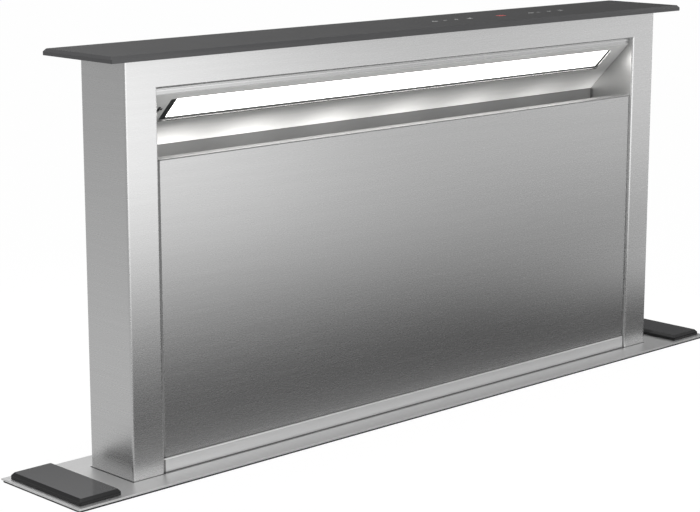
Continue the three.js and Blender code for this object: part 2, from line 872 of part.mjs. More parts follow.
function floorBracket(hand) {
  const wall = casingFront - seat;
  const section = folded([[wall, bracketHeight], [wall, 0], [wall - bracketReach, 0]], -1, bracketSheet);
  const near = casingWidth / 2 - bracketInset - bracketWidth;
  const low = Math.min(hand * near, hand * (near + bracketWidth));
  const high = low + bracketWidth;
  const inner = wall - bracketSheet;
  const lips = [low, high - bracketSheet].map((x) => extrudeX(shapeOf([
    [inner, half], [inner, bracketHeight / 4], [inner - bracketLip, bracketLip],
    [wall - bracketReach + bracketLip, bracketLip], [wall - bracketReach + seat, half],
  ]), x, x + bracketSheet));
  const middle = (low + high) / 2;
  const slots = [wall - bracketSlotNear, wall - bracketSlotFar].map((y) => extrudeZ(roundedRectangle(
    middle - bracketSlot, middle + bracketSlot, y - bracketSlot / 2, y + bracketSlot / 2, bracketSlotRound,
  ), -bracketSheet, 2 * bracketSheet));
  return cut(join(extrudeX(section, low, high), ...lips), ...slots);
}

for (const [side, hand] of ends) {
  piece(vent, `floor_bracket_${side}`, floorBracket(hand), galvanised);
}

// ---------------------------------------------------------------- lift drive

const wallX = casingInnerX - seat;
const shaftAxis = [driveY, shaftHeight];
const shaftBore = shaftRadius + runningGap;

function guideRail(hand) {
  const face = wallX;
  const open = face - railDepth;
  const points = [
    [hand * open, railY - railHalf], [hand * face, railY - railHalf],
    [hand * face, railY + railHalf], [hand * open, railY + railHalf],
  ];
  const top = rimTop - carriageDrop + railOverrun;
  const low = rimTop - carriageDrop - carriageHeight - liftTravel - railOverrun;
  return extrudeZ(folded(points, hand, railWall), low, top);
}

/** Toothed rim between two flanges, along X and centred on the given place, with a bore. */
function pulley(x, y, z, bore) {
  const valley = pulleyTip - pulleyToothDepth;
  const pitch = 2 * Math.PI / pulleyTeeth;
  const tip = pulleyTipShare / 2;
  const root = pulleyRootShare / 2;
  const outline = Array.from({ length: pulleyTeeth }, (_, i) => [
    [valley, -root], [pulleyTip, -tip], [pulleyTip, tip], [valley, root],
  ].map(([radius, share]) => {
    const angle = (i + share) * pitch;
    return [y + radius * Math.cos(angle), z + radius * Math.sin(angle)];
  })).flat();
  const w = beltWidth / 2 + runningGap;
  const flanges = [x - w - pulleyFlange, x + w].map((from) => (
    rod('x', pulleyFlangeRadius, from, from + pulleyFlange, [y, z], 20)
  ));
  const teeth = extrudeX(shapeOf(outline), x - w - seat, x + w + seat);
  const reach = w + 2 * pulleyFlange;
  return cut(join(teeth, ...flanges), rod('x', bore, x - reach, x + reach, [y, z], 16));
}

function toothedBelt(x) {
  const loop = (radius) => {
    const shape = new THREE.Shape();
    shape.absarc(driveY, shaftHeight, radius, Math.PI, 2 * Math.PI, false);
    shape.absarc(driveY, idlerHeight, radius, 0, Math.PI, false);
    return shape.getPoints(8);
  };
  const outline = new THREE.Shape(loop(beltOuter));
  outline.holes.push(new THREE.Path(loop(beltInner)));
  return extrudeX(outline, x - beltWidth / 2, x + beltWidth / 2);
}

function idlerBracket(hand) {
  const axis = [driveY, idlerHeight];
  const hub = beltX + beltWidth / 2 + 2 * runningGap + pulleyFlange;
  const tip = beltX - beltWidth / 2 - 2 * runningGap - pulleyFlange;
  const r = pulleyFlangeRadius;
  const plate = sideBox(
    hand, wallX - idlerPlate, wallX, driveY - r, driveY + r, idlerHeight - r, idlerHeight + r,
  );
  const collar = sideRod(hand, idlerAxleRadius + idlerPlate, hub, wallX - half, axis, 20);
  const axle = sideRod(hand, idlerAxleRadius, tip - pulleyFlange, wallX - half, axis);
  const clip = sideRod(hand, idlerAxleRadius + pulleyFlange, tip - pulleyFlange, tip, axis, 20);
  return join(plate, collar, axle, clip);
}

/** Flanged plain bearing on the casing's end wall. */
function shaftBearing(hand) {
  const flange = sideRod(hand, bearingRadius, wallX - bearingThickness / 2, wallX, shaftAxis, 20);
  const boss = sideRod(hand, bearingBossRadius, wallX - bearingThickness, wallX, shaftAxis, 20);
  return cut(join(flange, boss), sideRod(
    hand, shaftBore, wallX - 2 * bearingThickness, wallX + bearingThickness, shaftAxis,
  ));
}

for (const [side, hand] of ends) {
  const x = hand * beltX;
  const idlerBore = idlerAxleRadius + runningGap;
  piece(vent, `guide_rail_${side}`, guideRail(hand), galvanised);
  piece(vent, `shaft_bearing_${side}`, shaftBearing(hand), brass);
  piece(vent, `drive_pulley_${side}`, pulley(x, driveY, shaftHeight, shaftBore), castAluminium);
  piece(vent, `idler_bracket_${side}`, idlerBracket(hand), galvanised);
  piece(vent, `idler_pulley_${side}`, pulley(x, driveY, idlerHeight, idlerBore), castAluminium);
  piece(vent, `toothed_belt_${side}`, toothedBelt(x), rubber);
}

piece(vent, 'cross_shaft', rod('x', shaftRadius, -wallX + seat, wallX - seat, shaftAxis), shaftSteel);

function liftGearmotor() {
  const low = sheet + seat;
  const y0 = -casingInnerY + seat;
  const gearHalf = gearboxWidth / 2;
  const x = -gearboxX;
  const motorY = driveY + liftMotorOffset;
  const y1 = motorY + liftMotorRadius;
  const outline = roundedRectangle(x - gearHalf, x + gearHalf, y0, y1, gearboxCornerRadius);
  const gearbox = extrudeZ(outline, shaftHeight - gearboxHeight / 2, shaftHeight + gearboxHeight / 2);
  const footHalf = gearHalf + bracketLip;
  const foot = box(x - footHalf, x + footHalf, y0, y1, low, low + bracketSheet);
  const pillar = box(x - gearHalf / 2, x + gearHalf / 2, y0 + bracketLip, motorY, low, shaftHeight);
  const motorLow = shaftHeight + gearboxHeight / 2 - half;
  const motorHigh = motorLow + liftMotorHeight;
  const can = rod('z', liftMotorRadius, motorLow, motorHigh, [x, motorY], 32);
  const cap = rod('z', liftMotorCapRadius, motorLow, motorHigh + bracketLip, [x, motorY], 24);
  const bore = rod('x', shaftBore, x - gearboxWidth, x + gearboxWidth, shaftAxis);
  return cut(join(gearbox, foot, pillar, can, cap), bore);
}

piece(vent, 'lift_gearmotor', liftGearmotor(), castAluminium);

// ---------------------------------------------------------------- blower

const blower = new THREE.Group();
blower.position.set(-fanX, casingFront - seat, fanHeight);
vent.add(blower);

/** Outline of the scroll: a spiral that grows once round, and the straight outlet that leaves it. */
function scrollParts(grow) {
  const spiral = Array.from({ length: scrollSteps + 1 }, (_, i) => {
    const share = i / scrollSteps;
    const angle = (share - 0.25) * 2 * Math.PI;
    const radius = scrollStartRadius + (scrollEndRadius - scrollStartRadius) * share + grow;
    return [radius * Math.cos(angle), radius * Math.sin(angle)];
  });
  const low = -scrollEndRadius;
  const channel = rectangle(-grow, scrollOutletX, low - grow, low + scrollOutletHeight + grow);
  return [shapeOf(spiral), channel];
}

function scrollSolid(grow, y0, y1) {
  return join(...scrollParts(grow).map((shape) => extrudeY(shape, y0, y1)));
}

function outletFlange(x0, x1) {
  const f = scrollFlange;
  const low = -scrollEndRadius;
  const high = low + scrollOutletHeight;
  const outer = box(x0, x1, -scrollDepth - f, 0, low - f, high + f);
  return cut(join(outer), box(x0 - f, x1 + f, -scrollDepth + scrollWall, -scrollWall, low, high));
}

function scrollHousing() {
  const mouth = rod('y', inletRadius, -2 * scrollWall, scrollWall, [0, 0], 48);
  const low = -scrollEndRadius;
  const past = scrollOutletX + scrollFlange;
  const channel = box(0, past, -scrollDepth, -scrollWall, low, low + scrollOutletHeight);
  return scrollSolid(scrollFlange, -scrollWall, 0)
    .add(scrollSolid(scrollWall, -scrollDepth, 0))
    .subtract(scrollSolid(0, -scrollDepth - scrollWall, -scrollWall))
    .add(outletFlange(scrollOutletX - scrollWall, scrollOutletX))
    .subtract(join(mouth, channel));
}

function scrollFront() {
  const face = -scrollDepth - seat;
  const outer = face - frontPlate;
  const innerHoop = motorRadius + 2 * ribWidth;
  const outerHoop = scrollStartRadius - 3 * ribWidth;
  const r = ribWidth / 2;
  const ribs = Array.from({ length: ribCount }, (_, i) => {
    const angle = (i + 0.5) / ribCount * 2 * Math.PI;
    const rib = box(innerHoop + r, outerHoop + r, outer - ribHeight, outer + half, -r, r);
    return rib.rotateY(angle);
  });
  const hoop = (radius) => cut(
    join(rod('y', radius + ribWidth, outer - ribHeight, outer + half, [0, 0], 32)),
    rod('y', radius, outer - 2 * ribHeight, outer + sheet, [0, 0], 32),
  );
  const plate = scrollSolid(scrollWall, outer, face).add(join(...ribs));
  const bayLeft = scrollOutletX - scrollWall - seat;
  const bayRight = scrollOutletX + scrollWall;
  const flangeBay = box(bayLeft, bayRight, outer - seat, face + seat, -2 * scrollEndRadius, 0);
  return cut(
    plate.add(hoop(innerHoop)).add(hoop(outerHoop)),
    rod('y', motorHoleRadius, outer - ribHeight, face + seat, [0, 0], 32), flangeBay,
  );
}

/** Rounded inlet ring on the rear plate, which leads the air into the wheel. */
function bellMouth() {
  const rear = -scrollWall - seat;
  const lip = rear - bellDepth;
  const wall = sheet;
  const bend = inletRadius - bellRadius;
  const steps = 4;
  const arc = (radius, from, to) => Array.from({ length: steps + 1 }, (_, i) => {
    const angle = from + (to - from) * i / steps;
    return [inletRadius - radius * Math.sin(angle), rear - bend + radius * Math.cos(angle)];
  });
  const outerArc = arc(bend, Math.PI / 2, 0);
  const innerArc = arc(bend - wall, 0, Math.PI / 2);
  const flange = inletRadius + scrollFlange;
  return turned([
    [bellRadius, lip], ...outerArc, [flange, rear], [flange, rear - wall], ...innerArc,
    [bellRadius + wall, lip], [bellRadius, lip],
  ], 28);
}

/** Forward-curved centrifugal wheel: blades between a back plate and a front ring. */
function fanWheel() {
  const frontY = -wheelInset;
  const backY = frontY - wheelWidth;
  const plate = rod('y', wheelRadius, backY - wheelPlate, backY, [0, 0], 36);
  const rim = cut(
    join(rod('y', wheelRadius, frontY - 2 * wheelPlate, frontY, [0, 0], 36)),
    rod('y', wheelRadius - 3 * wheelPlate, frontY - 3 * wheelPlate, frontY + wheelPlate, [0, 0], 36),
  );
  const hub = rod('y', hubRadius, backY - wheelPlate, backY - wheelPlate + hubLength, [0, 0], 32);
  const chord = wheelRadius - half - wheelInnerRadius;
  const camber = (share) => bladeSweep * Math.sin(share * Math.PI / 2) ** 2;
  const bladeShape = (angle) => {
    const edge = (offset) => Array.from({ length: bladeSteps + 1 }, (_, i) => {
      const share = i / bladeSteps;
      const radius = wheelInnerRadius + chord * share;
      const turn = angle - (camber(share) + offset) / radius;
      return [radius * Math.cos(turn), radius * Math.sin(turn)];
    });
    return shapeOf([...edge(-bladeThickness / 2), ...edge(bladeThickness / 2).reverse()]);
  };
  const blades = Array.from({ length: bladeCount }, (_, i) => (
    extrudeY(bladeShape(i / bladeCount * 2 * Math.PI), backY - half, frontY - wheelPlate)
  ));
  return cut(
    join(plate, hub, ...blades).add(rim),
    rod('y', motorShaftRadius + runningGap, backY - hubLength, frontY, [0, 0]),
  );
}

function fanMotor() {
  const face = -scrollDepth - seat - frontPlate - seat;
  const far = face - motorLength;
  const finRoot = motorRadius - ribHeight;
  const fins = Array.from({ length: motorFins }, (_, i) => {
    const pitch = (motorLength - 4 * frontPlate) / motorFins;
    const start = face - 2 * frontPlate - i * pitch;
    const step = start - pitch / 2;
    return [[motorRadius, start], [motorRadius, step], [finRoot, step], [finRoot, start - pitch]];
  }).flat();
  const boss = motorHoleRadius - 2 * sheet;
  const shaftTip = -wheelInset - wheelWidth - wheelPlate + hubLength - seat;
  const bossTip = -wheelInset - wheelWidth - wheelPlate - ribHeight;
  return turned([
    [0, shaftTip], [motorShaftRadius, shaftTip], [motorShaftRadius, bossTip], [boss, bossTip], [boss, face],
    [motorRadius + ribWidth, face], [motorRadius + ribWidth, face - 2 * frontPlate],
    ...fins, [finRoot, far + frontPlate], [finRoot - ribHeight, far], [0, far],
  ], 24);
}

piece(blower, 'scroll_housing', scrollHousing(), greyPlastic);
piece(blower, 'scroll_front', scrollFront(), greyPlastic);
piece(blower, 'inlet_bell', bellMouth(), blackPlastic);
piece(blower, 'fan_wheel', fanWheel(), galvanised);
piece(blower, 'fan_motor', fanMotor(), castAluminium);

// ---------------------------------------------------------------- duct adapter, collar and non-return flaps

const channelY = -scrollDepth / 2;
const channelZ = -scrollEndRadius + scrollOutletHeight / 2;
const collarY = channelY - collarForward;
const adapterStart = scrollOutletX + seat;
const collarStart = adapterStart + adapterLength;

/** Point where a ray from the middle leaves a rectangle of the given half sizes. */
function rectangleRay(angle, halfY, halfZ) {
  const reach = Math.min(halfY / Math.abs(Math.cos(angle)), halfZ / Math.abs(Math.sin(angle)));
  return [reach * Math.cos(angle), reach * Math.sin(angle)];
}

/** Square-to-round transition, from the scroll's outlet to the collar. */
function ductAdapter() {
  const section = (x, share, grow) => Array.from({ length: adapterSteps }, (_, i) => {
    const angle = (i + 0.5) / adapterSteps * 2 * Math.PI;
    const [ry, rz] = rectangleRay(angle, scrollDepth / 2 - scrollWall + grow, scrollOutletHeight / 2 + grow);
    const radius = collarRadius - collarWall + grow;
    const y = THREE.MathUtils.lerp(ry, radius * Math.cos(angle), share);
    const z = THREE.MathUtils.lerp(rz, radius * Math.sin(angle), share);
    return new THREE.Vector3(x, y + THREE.MathUtils.lerp(channelY, collarY, share), z + channelZ);
  });
  const skin = (grow, over) => loft(Array.from({ length: adapterLevels + 1 }, (_, i) => {
    const share = i / adapterLevels;
    const blend = THREE.MathUtils.smoothstep(share, 0, 1);
    const reach = THREE.MathUtils.lerp(-over, adapterLength + over, share);
    return section(adapterStart + reach, blend, grow);
  }));
  const flange = outletFlange(adapterStart, adapterStart + scrollWall);
  return solidOf(skin(scrollWall, 0)).add(flange).subtract(solidOf(skin(0, seat)));
}

function ductCollar() {
  const start = collarStart + seat;
  const end = start + collarLength;
  const inner = collarRadius - collarWall;
  const bead = collarRadius + collarBead;
  const flange = bead + collarBead;
  const profile = [
    [inner, start], [flange, start], [flange, start + collarWall], [collarRadius, start + collarWall],
    [collarRadius, end - 4 * collarBead], [bead, end - 3 * collarBead], [bead, end - 2 * collarBead],
    [collarRadius, end - collarBead], [collarRadius, end], [inner, end], [inner, start],
  ];
  return turned(profile, 32).rotateZ(-Math.PI / 2).translate(0, collarY, channelZ);
}

const flapX = collarStart + flapPlace;
const flapZ = channelZ;
const flapRadius = collarRadius - collarWall - flapGap;

/** Half-round flap that swings about the upright pin; its knuckles alternate with those of its twin. */
function flap(hand) {
  const straight = flapHingeGap / 2 + flapGap;
  const limit = Math.acos(straight / flapRadius);
  const arc = Array.from({ length: flapSteps + 1 }, (_, i) => {
    const angle = -limit + 2 * limit * i / flapSteps;
    return [hand * flapRadius * Math.cos(angle), flapRadius * Math.sin(angle)];
  });
  const disc = extrudeX(shapeOf(arc), -flapThickness / 2, flapThickness / 2);
  const pitch = flapHingeSpan / flapKnuckles;
  const spans = Array.from({ length: flapKnuckles }, (_, i) => pitch * i - flapHingeSpan / 2)
    .filter((_, i) => (i % 2 === 0) === (hand > 0));
  const edge = hand * (straight + half);
  const knuckles = spans.flatMap((start) => {
    const low = start + flapGap / 2;
    const high = start + pitch - flapGap / 2;
    return [
      rod('z', flapKnuckleRadius, low, high, [0, 0], 12),
      box(-flapThickness / 2, flapThickness / 2, Math.min(0, edge), Math.max(0, edge), low, high),
    ];
  });
  const bore = rod('z', flapPinRadius + runningGap, -collarRadius, collarRadius, [0, 0], 12);
  return cut(join(disc, ...knuckles), bore);
}

const hinge = new THREE.Group();
hinge.position.set(flapX, collarY, flapZ);
blower.add(hinge);
const pinHalf = collarRadius - collarWall - seat;
piece(blower, 'duct_adapter', ductAdapter(), blackPlastic);
piece(blower, 'duct_collar', ductCollar(), blackPlastic);
piece(hinge, 'flap_pin', rod('z', flapPinRadius, -pinHalf, pinHalf, [0, 0], 12), shaftSteel);
piece(hinge, 'nonreturn_flap_rear', flap(1), greyPlastic);
piece(hinge, 'nonreturn_flap_front', flap(-1), greyPlastic);

// ---------------------------------------------------------------- control box

const boxLeft = boxX - boxWidth / 2;
const boxRight = boxX + boxWidth / 2;
const boxRear = casingFront - seat;
const boxFace = boxRear - boxDepth;
const glandAxis = [boxX + glandShift, boxRear - boxDepth / 2];

function controlBox() {
  const shell = box(boxLeft, boxRight, boxFace, boxRear, boxLow, boxLow + boxHeight);
  const hollow = box(boxLeft + boxWall, boxRight - boxWall, boxFace - boxWall, boxRear - boxWall,
    boxLow + boxWall, boxLow + boxHeight - boxWall);
  const middle = boxLow + boxHeight / 2;
  const lead = rod('y', leadRadius, boxRear - boxDepth / 2, boxRear + boxWall, [boxX, middle], 20);
  const entry = rod('z', glandHoleRadius, boxLow - boxWall, boxLow + 2 * boxWall, glandAxis, 20);
  return cut(join(shell), hollow, lead, entry);
}

function controlBoard() {
  const rear = boxRear - boxWall - seat;
  const face = rear - ledBoardThickness;
  const high = boxLow + boxHeight / 2 - 2 * leadRadius;
  const board = box(boxLeft + boardMargin, boxRight - boardMargin, face, rear, boxLow + boardMargin, high);
  const low = boxLow + 2 * boardMargin;
  const component = (x, width, height) => (
    box(x, x + width, face - height, face + seat, low, low + componentWidth)
  );
  return join(
    board, component(boxLeft + 2 * boardMargin, transformerWidth, transformerHeight),
    component(boxX, relayWidth, relayHeight), component(boxX + relayPitch, relayWidth, relayHeight),
  );
}

piece(vent, 'control_box', controlBox(), galvanised);
piece(vent, 'control_board', controlBoard(), circuitGreen);
const coverFace = boxFace - seat - boxCoverDepth;
const coverHigh = boxLow + boxHeight + boxWall;
piece(vent, 'control_box_cover', pressedTray(
  boxLeft - boxWall, boxRight + boxWall, boxLow - boxWall, coverHigh, coverFace, boxCoverDepth,
), galvanised);

function cableGland() {
  const nut = rod('z', glandNutRadius, boxLow - glandLength / 3, boxLow - seat, glandAxis, 6);
  const dome = rod('z', glandDomeRadius, boxLow - glandLength, boxLow - seat, glandAxis, 20);
  const thread = rod('z', glandThreadRadius, boxLow - glandLength, boxLow + glandLength / 3, glandAxis, 20);
  const bore = rod('z', glandBoreRadius, boxLow - 2 * glandLength, boxLow + glandLength, glandAxis);
  return cut(join(nut, dome, thread), bore);
}

piece(vent, 'cable_gland', cableGland(), blackPlastic);

export default vent;
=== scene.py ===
"""Dresses the downdraft vent's solids for its photograph: finishes, fasteners, stage and light."""

from __future__ import annotations

import json
import logging
import math
from collections.abc import Callable, Sequence
from dataclasses import dataclass, field
from enum import Enum

import bmesh
import bpy
from mathutils import Matrix, Vector

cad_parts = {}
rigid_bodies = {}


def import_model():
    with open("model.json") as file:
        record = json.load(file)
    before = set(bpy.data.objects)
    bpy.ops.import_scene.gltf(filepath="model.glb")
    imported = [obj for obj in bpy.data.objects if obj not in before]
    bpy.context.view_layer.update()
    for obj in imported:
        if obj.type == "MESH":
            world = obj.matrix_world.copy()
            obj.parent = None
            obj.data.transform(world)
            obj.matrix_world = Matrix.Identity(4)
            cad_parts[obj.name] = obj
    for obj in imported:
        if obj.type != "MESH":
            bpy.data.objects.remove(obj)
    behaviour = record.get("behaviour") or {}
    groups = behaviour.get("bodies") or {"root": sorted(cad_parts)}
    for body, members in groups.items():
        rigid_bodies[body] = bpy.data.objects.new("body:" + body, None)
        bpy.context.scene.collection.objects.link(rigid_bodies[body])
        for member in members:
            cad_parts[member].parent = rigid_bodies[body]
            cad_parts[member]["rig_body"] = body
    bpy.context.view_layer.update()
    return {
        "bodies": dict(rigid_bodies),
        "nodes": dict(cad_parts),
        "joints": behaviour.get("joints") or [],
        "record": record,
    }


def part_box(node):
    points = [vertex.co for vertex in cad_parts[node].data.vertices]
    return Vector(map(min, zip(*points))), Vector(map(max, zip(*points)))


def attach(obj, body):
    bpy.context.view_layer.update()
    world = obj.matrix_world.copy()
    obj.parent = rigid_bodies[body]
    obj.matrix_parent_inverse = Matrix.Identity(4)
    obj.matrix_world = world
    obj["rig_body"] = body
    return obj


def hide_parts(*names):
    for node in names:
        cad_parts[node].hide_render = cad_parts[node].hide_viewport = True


LOG = logging.getLogger("downdraft_vent")
MM = 0.001
UP = Vector((0, 0, 1))
RIGHT = Vector((1, 0, 0))
AWAY = Vector((0, 1, 0))
HEAD_FOOT = -0.3
SIDES = ("left", "right")
HANDS = (-1, 1)

Socket = bpy.types.NodeSocket
Span = tuple[float, float]
Spans = tuple[Span, ...]
Sockets = dict[str | int, object]


# ---------------------------------------------------------------- nodes and colours


def linear(hex_colour: str) -> tuple[float, float, float, float]:
    """Turns an sRGB hex colour into linear red, green, blue and alpha.

    Args:
        hex_colour: six hex digits, such as "c4c5c4".

    Returns:
        The four linear values, with alpha 1.
    """

    def channel(value: float) -> float:
        """One channel from sRGB to linear."""
        return value / 12.92 if value <= 0.04045 else ((value + 0.055) / 1.055) ** 2.4

    red, green, blue = (channel(int(hex_colour[i : i + 2], 16) / 255) for i in (0, 2, 4))
    return red, green, blue, 1.0


def feed(node: bpy.types.Node, sockets: Sockets) -> None:
    """Sets a node's inputs.

    Args:
        node: the node.
        sockets: input name or index to a value, or to the output socket that feeds it.
    """
    for key, value in sockets.items():
        if isinstance(value, Socket):
            node.id_data.links.new(value, node.inputs[key])
        else:
            node.inputs[key].default_value = value


class Nodes:
    """Adds nodes to one shader or geometry tree. Its short forms return the output that is used on."""

    def __init__(self, tree: bpy.types.NodeTree) -> None:
        """Keeps the tree that gets the nodes."""
        self.tree = tree

    def add(self, kind: str, sockets: Sockets | None = None, **settings: object) -> bpy.types.Node:
        """Adds one node.

        Args:
            kind: the node's type name in Blender.
            sockets: input name or index to a value, or to the output socket that feeds it.
            settings: the node's own properties.

        Returns:
            The new node.
        """
        made = self.tree.nodes.new(kind)
        for key, value in settings.items():
            setattr(made, key, value)
        feed(made, sockets or {})
        return made

    def out(
        self, kind: str, sockets: Sockets | None = None, which: str | int = 0, **settings: object
    ) -> Socket:
        """Adds one node and returns one of its outputs, the first unless another is named."""
        return self.add(kind, sockets, **settings).outputs[which]

    def place(self) -> Socket:
        """The object's own coordinates."""
        return self.out("ShaderNodeTexCoord", which="Object")

    def axes(self, place: Socket) -> bpy.types.NodeOutputs:
        """A place's X, Y and Z."""
        return self.add("ShaderNodeSeparateXYZ", {0: place}).outputs

    def calc(self, operation: str, *values: Socket | float) -> Socket:
        """One operation of the Math node on one to three values."""
        return self.out("ShaderNodeMath", dict(enumerate(values)), operation=operation)

    def product(self, first: Socket, *others: Socket | float) -> Socket:
        """The product of two or more values."""
        for other in others:
            first = self.calc("MULTIPLY", first, other)
        return first

    def line(self, value: Socket, factor: float, addend: Socket | float) -> Socket:
        """A value times a factor, plus another value."""
        return self.calc("MULTIPLY_ADD", value, factor, addend)

    def mapped(
        self, value: Socket, span: Span = (0.0, 1.0), levels: Span = (0.0, 1.0), **settings: object
    ) -> Socket:
        """A value taken from one span to another and held at its ends."""
        names = ("Value", "From Min", "From Max", "To Min", "To Max")
        return self.out("ShaderNodeMapRange", dict(zip(names, (value, *span, *levels))), **settings)

    def varied(self, value: Socket, middle: float, swing: float, span: Span = (0.0, 1.0)) -> Socket:
        """A value spread evenly round a middle one, as far as the swing to both sides."""
        return self.mapped(value, span, (middle - swing, middle + swing))

    def step(self, value: Socket, low: float, high: float) -> Socket:
        """A soft step from 0 to 1 between two values."""
        return self.mapped(value, (low, high), interpolation_type="SMOOTHSTEP")

    def noise(self, place: Socket, scale: float, detail: float, roughness: float = 0.5) -> Socket:
        """Cloudy noise with so many clouds per metre."""
        sockets = {"Vector": place, "Scale": scale, "Detail": detail, "Roughness": roughness}
        return self.out("ShaderNodeTexNoise", sockets, "Fac")

    def scaled(self, colour: Socket | Sequence[float], factor: Socket) -> Socket:
        """A colour made lighter or darker."""
        return self.out("ShaderNodeVectorMath", {0: colour, "Scale": factor}, operation="SCALE")

    def mixed(self, factor: Socket, first: object, second: object) -> Socket:
        """Two colours mixed by a factor."""
        return self.out("ShaderNodeMix", {"Factor": factor, 6: first, 7: second}, 2, data_type="RGBA")

    def bump(self, height: Socket, strength: float, depth: float) -> Socket:
        """Relief of a depth in millimetres."""
        return self.out("ShaderNodeBump", {"Height": height, "Strength": strength, "Distance": depth * MM})

    def ramp(self, factor: Socket, stops: list[Span]) -> Socket:
        """A grey ramp over a factor.

        Args:
            factor: the socket that runs along the ramp.
            stops: places and grey levels, in order.

        Returns:
            The ramp's colour output.
        """
        made = self.add("ShaderNodeValToRGB", {"Fac": factor})
        band = made.color_ramp.elements
        band[0].position, band[-1].position = stops[0][0], stops[-1][0]
        for element, (_, grey) in ((band[0], stops[0]), (band[-1], stops[-1])):
            element.color = (grey, grey, grey, 1)
        for place, grey in stops[1:-1]:
            band.new(place).color = (grey, grey, grey, 1)
        return made.outputs["Color"]


def empty_material(name: str) -> tuple[bpy.types.Material, Nodes]:
    """A new material without any node, and what fills its tree."""
    made = bpy.data.materials.new(name)
    made.use_nodes = True
    made.node_tree.nodes.clear()
    return made, Nodes(made.node_tree)


# ---------------------------------------------------------------- finishes


class Grain(Enum):
    """How a brushed sheet's grain lies: the noise scale along x, y and z, in lines per metre."""

    UPRIGHT = (26.0, 26.0, 1100.0)
    LEVEL = (26.0, 1100.0, 26.0)
    SLANTED = (26.0, 800.0, 800.0)


@dataclass(frozen=True)
class Finish:
    """A surface: what the material is and how it was made. Each kind of finish draws its own nodes."""

    name: str

    def draw(self, nodes: Nodes, surface: bpy.types.Node) -> None:
        """Sets the Principled surface and adds the finish's own nodes in front of it."""

    def material(self) -> bpy.types.Material:
        """The Blender material, made once.

        Returns:
            The material with this finish's name.
        """
        ready = bpy.data.materials.get(self.name)
        if ready:
            return ready
        made = bpy.data.materials.new(self.name)
        made.use_nodes = True
        self.draw(Nodes(made.node_tree), made.node_tree.nodes["Principled BSDF"])
        return made


@dataclass(frozen=True)
class BrushedSteel(Finish):
    """Stainless steel sheet, belt-brushed: fine parallel scratches that draw its reflections out across them.

    A sheet beside the lamp can also have a painted glow, which grows over a span of heights.
    """

    tint: str = "c9c9c9"
    roughness: float = 0.27
    grain: Grain = Grain.UPRIGHT
    draw_out: float = 0.45
    metallic: float = 1.0
    band_stretch: float = 0.22
    tone_swing: float = 0.025
    gloss_swing: float = 0.012
    relief: float = 0.012
    glow: float = 0.0
    glow_span: Span = (1.037, 1.013)
    glow_fade: Span = (-0.22, 0.2)
    patch_pitch: float = 0.104
    patch_swing: float = 0.15

    def draw(self, nodes: Nodes, surface: bpy.types.Node) -> None:
        """Two layers of scratches: fine lines, and broad faint bands."""
        place = nodes.place()
        lines = self.scratches(nodes, place, 1.0, 3.0, 0.6)
        bands = self.scratches(nodes, place, self.band_stretch, 2.0, 0.5)
        tone = nodes.varied(nodes.calc("ADD", lines, bands), 1.0, self.tone_swing, (0.6, 1.4))
        if self.grain is Grain.UPRIGHT:
            along = nodes.out("ShaderNodeTangent", direction_type="RADIAL", axis="Z")
        else:
            along = nodes.out("ShaderNodeCombineXYZ", {"X": 1.0})
        feed(surface, {
            "Base Color": nodes.scaled(linear(self.tint)[:3], tone),
            "Roughness": nodes.varied(lines, self.roughness, self.gloss_swing, (0.25, 0.75)),
            "Normal": nodes.bump(lines, self.relief, 0.05),
            "Metallic": self.metallic,
            "Anisotropic": self.draw_out,
            "Anisotropic Rotation": 0.25,
            "Tangent": along,
        })
        if self.glow:
            level = self.glow_level(nodes, nodes.axes(place))
            feed(surface, {"Emission Color": linear("fffefb"), "Emission Strength": level})

    def scratches(
        self, nodes: Nodes, place: Socket, stretch: float, detail: float, roughness: float
    ) -> Socket:
        """Noise drawn out along the grain.

        Args:
            nodes: what fills the material's tree.
            place: the object's own coordinates.
            stretch: lines per metre as a share of the grain's own.
            detail: how many finer layers the noise has.
            roughness: how strong the finer layers are.

        Returns:
            The noise's level.
        """
        scale = tuple(value * stretch for value in self.grain.value)
        drawn = nodes.out("ShaderNodeMapping", {"Vector": place, "Scale": scale})
        return nodes.noise(drawn, 1.0, detail, roughness)

    def glow_level(self, nodes: Nodes, axes: bpy.types.NodeOutputs) -> Socket:
        """Paints the glow that the photograph shows below the lamp: brighter downwards, half as strong
        towards +X, in soft patches. It follows the picture; no light path in this scene makes it."""
        depth = nodes.mapped(axes["Z"], self.glow_span)
        wave = nodes.calc("SINE", nodes.product(axes["X"], 2 * math.pi / self.patch_pitch))
        patches = nodes.line(wave, self.patch_swing, 1 - self.patch_swing)
        fade = nodes.mapped(axes["X"], self.glow_fade, (1.0, 0.5))
        return nodes.product(depth, patches, fade, self.glow)


@dataclass(frozen=True)
class BlackGlass(Finish):
    """Float glass enamelled black on its back: dark under a clear, slightly softened surface."""

    tint: str = "404041"
    roughness: float = 0.1

    def draw(self, nodes: Nodes, surface: bpy.types.Node) -> None:
        """A faint unevenness of the polish, about 40 mm across."""
        cloud = nodes.noise(nodes.place(), 25.0, 3.0)
        feed(surface, {
            "Base Color": linear(self.tint),
            "Roughness": nodes.varied(cloud, self.roughness, 0.2 * self.roughness),
            "IOR": 1.5,
        })


@dataclass(frozen=True)
class GalvanisedSheet(Finish):
    """Hot-dip galvanised steel: zinc crystals about 8 mm across, each with a slightly different lustre."""

    tint: str = "a9adaf"
    roughness: float = 0.46

    def draw(self, nodes: Nodes, surface: bpy.types.Node) -> None:
        """Zinc crystals as cells."""
        cells = nodes.out("ShaderNodeTexVoronoi", {"Vector": nodes.place(), "Scale": 125.0}, "Color")
        level = nodes.out("ShaderNodeSeparateColor", {0: cells})
        tone = nodes.mapped(level, levels=(0.86, 1.08))
        feed(surface, {
            "Base Color": nodes.scaled(linear(self.tint)[:3], tone),
            "Roughness": nodes.varied(level, self.roughness, 0.07),
            "Metallic": 0.9,
        })


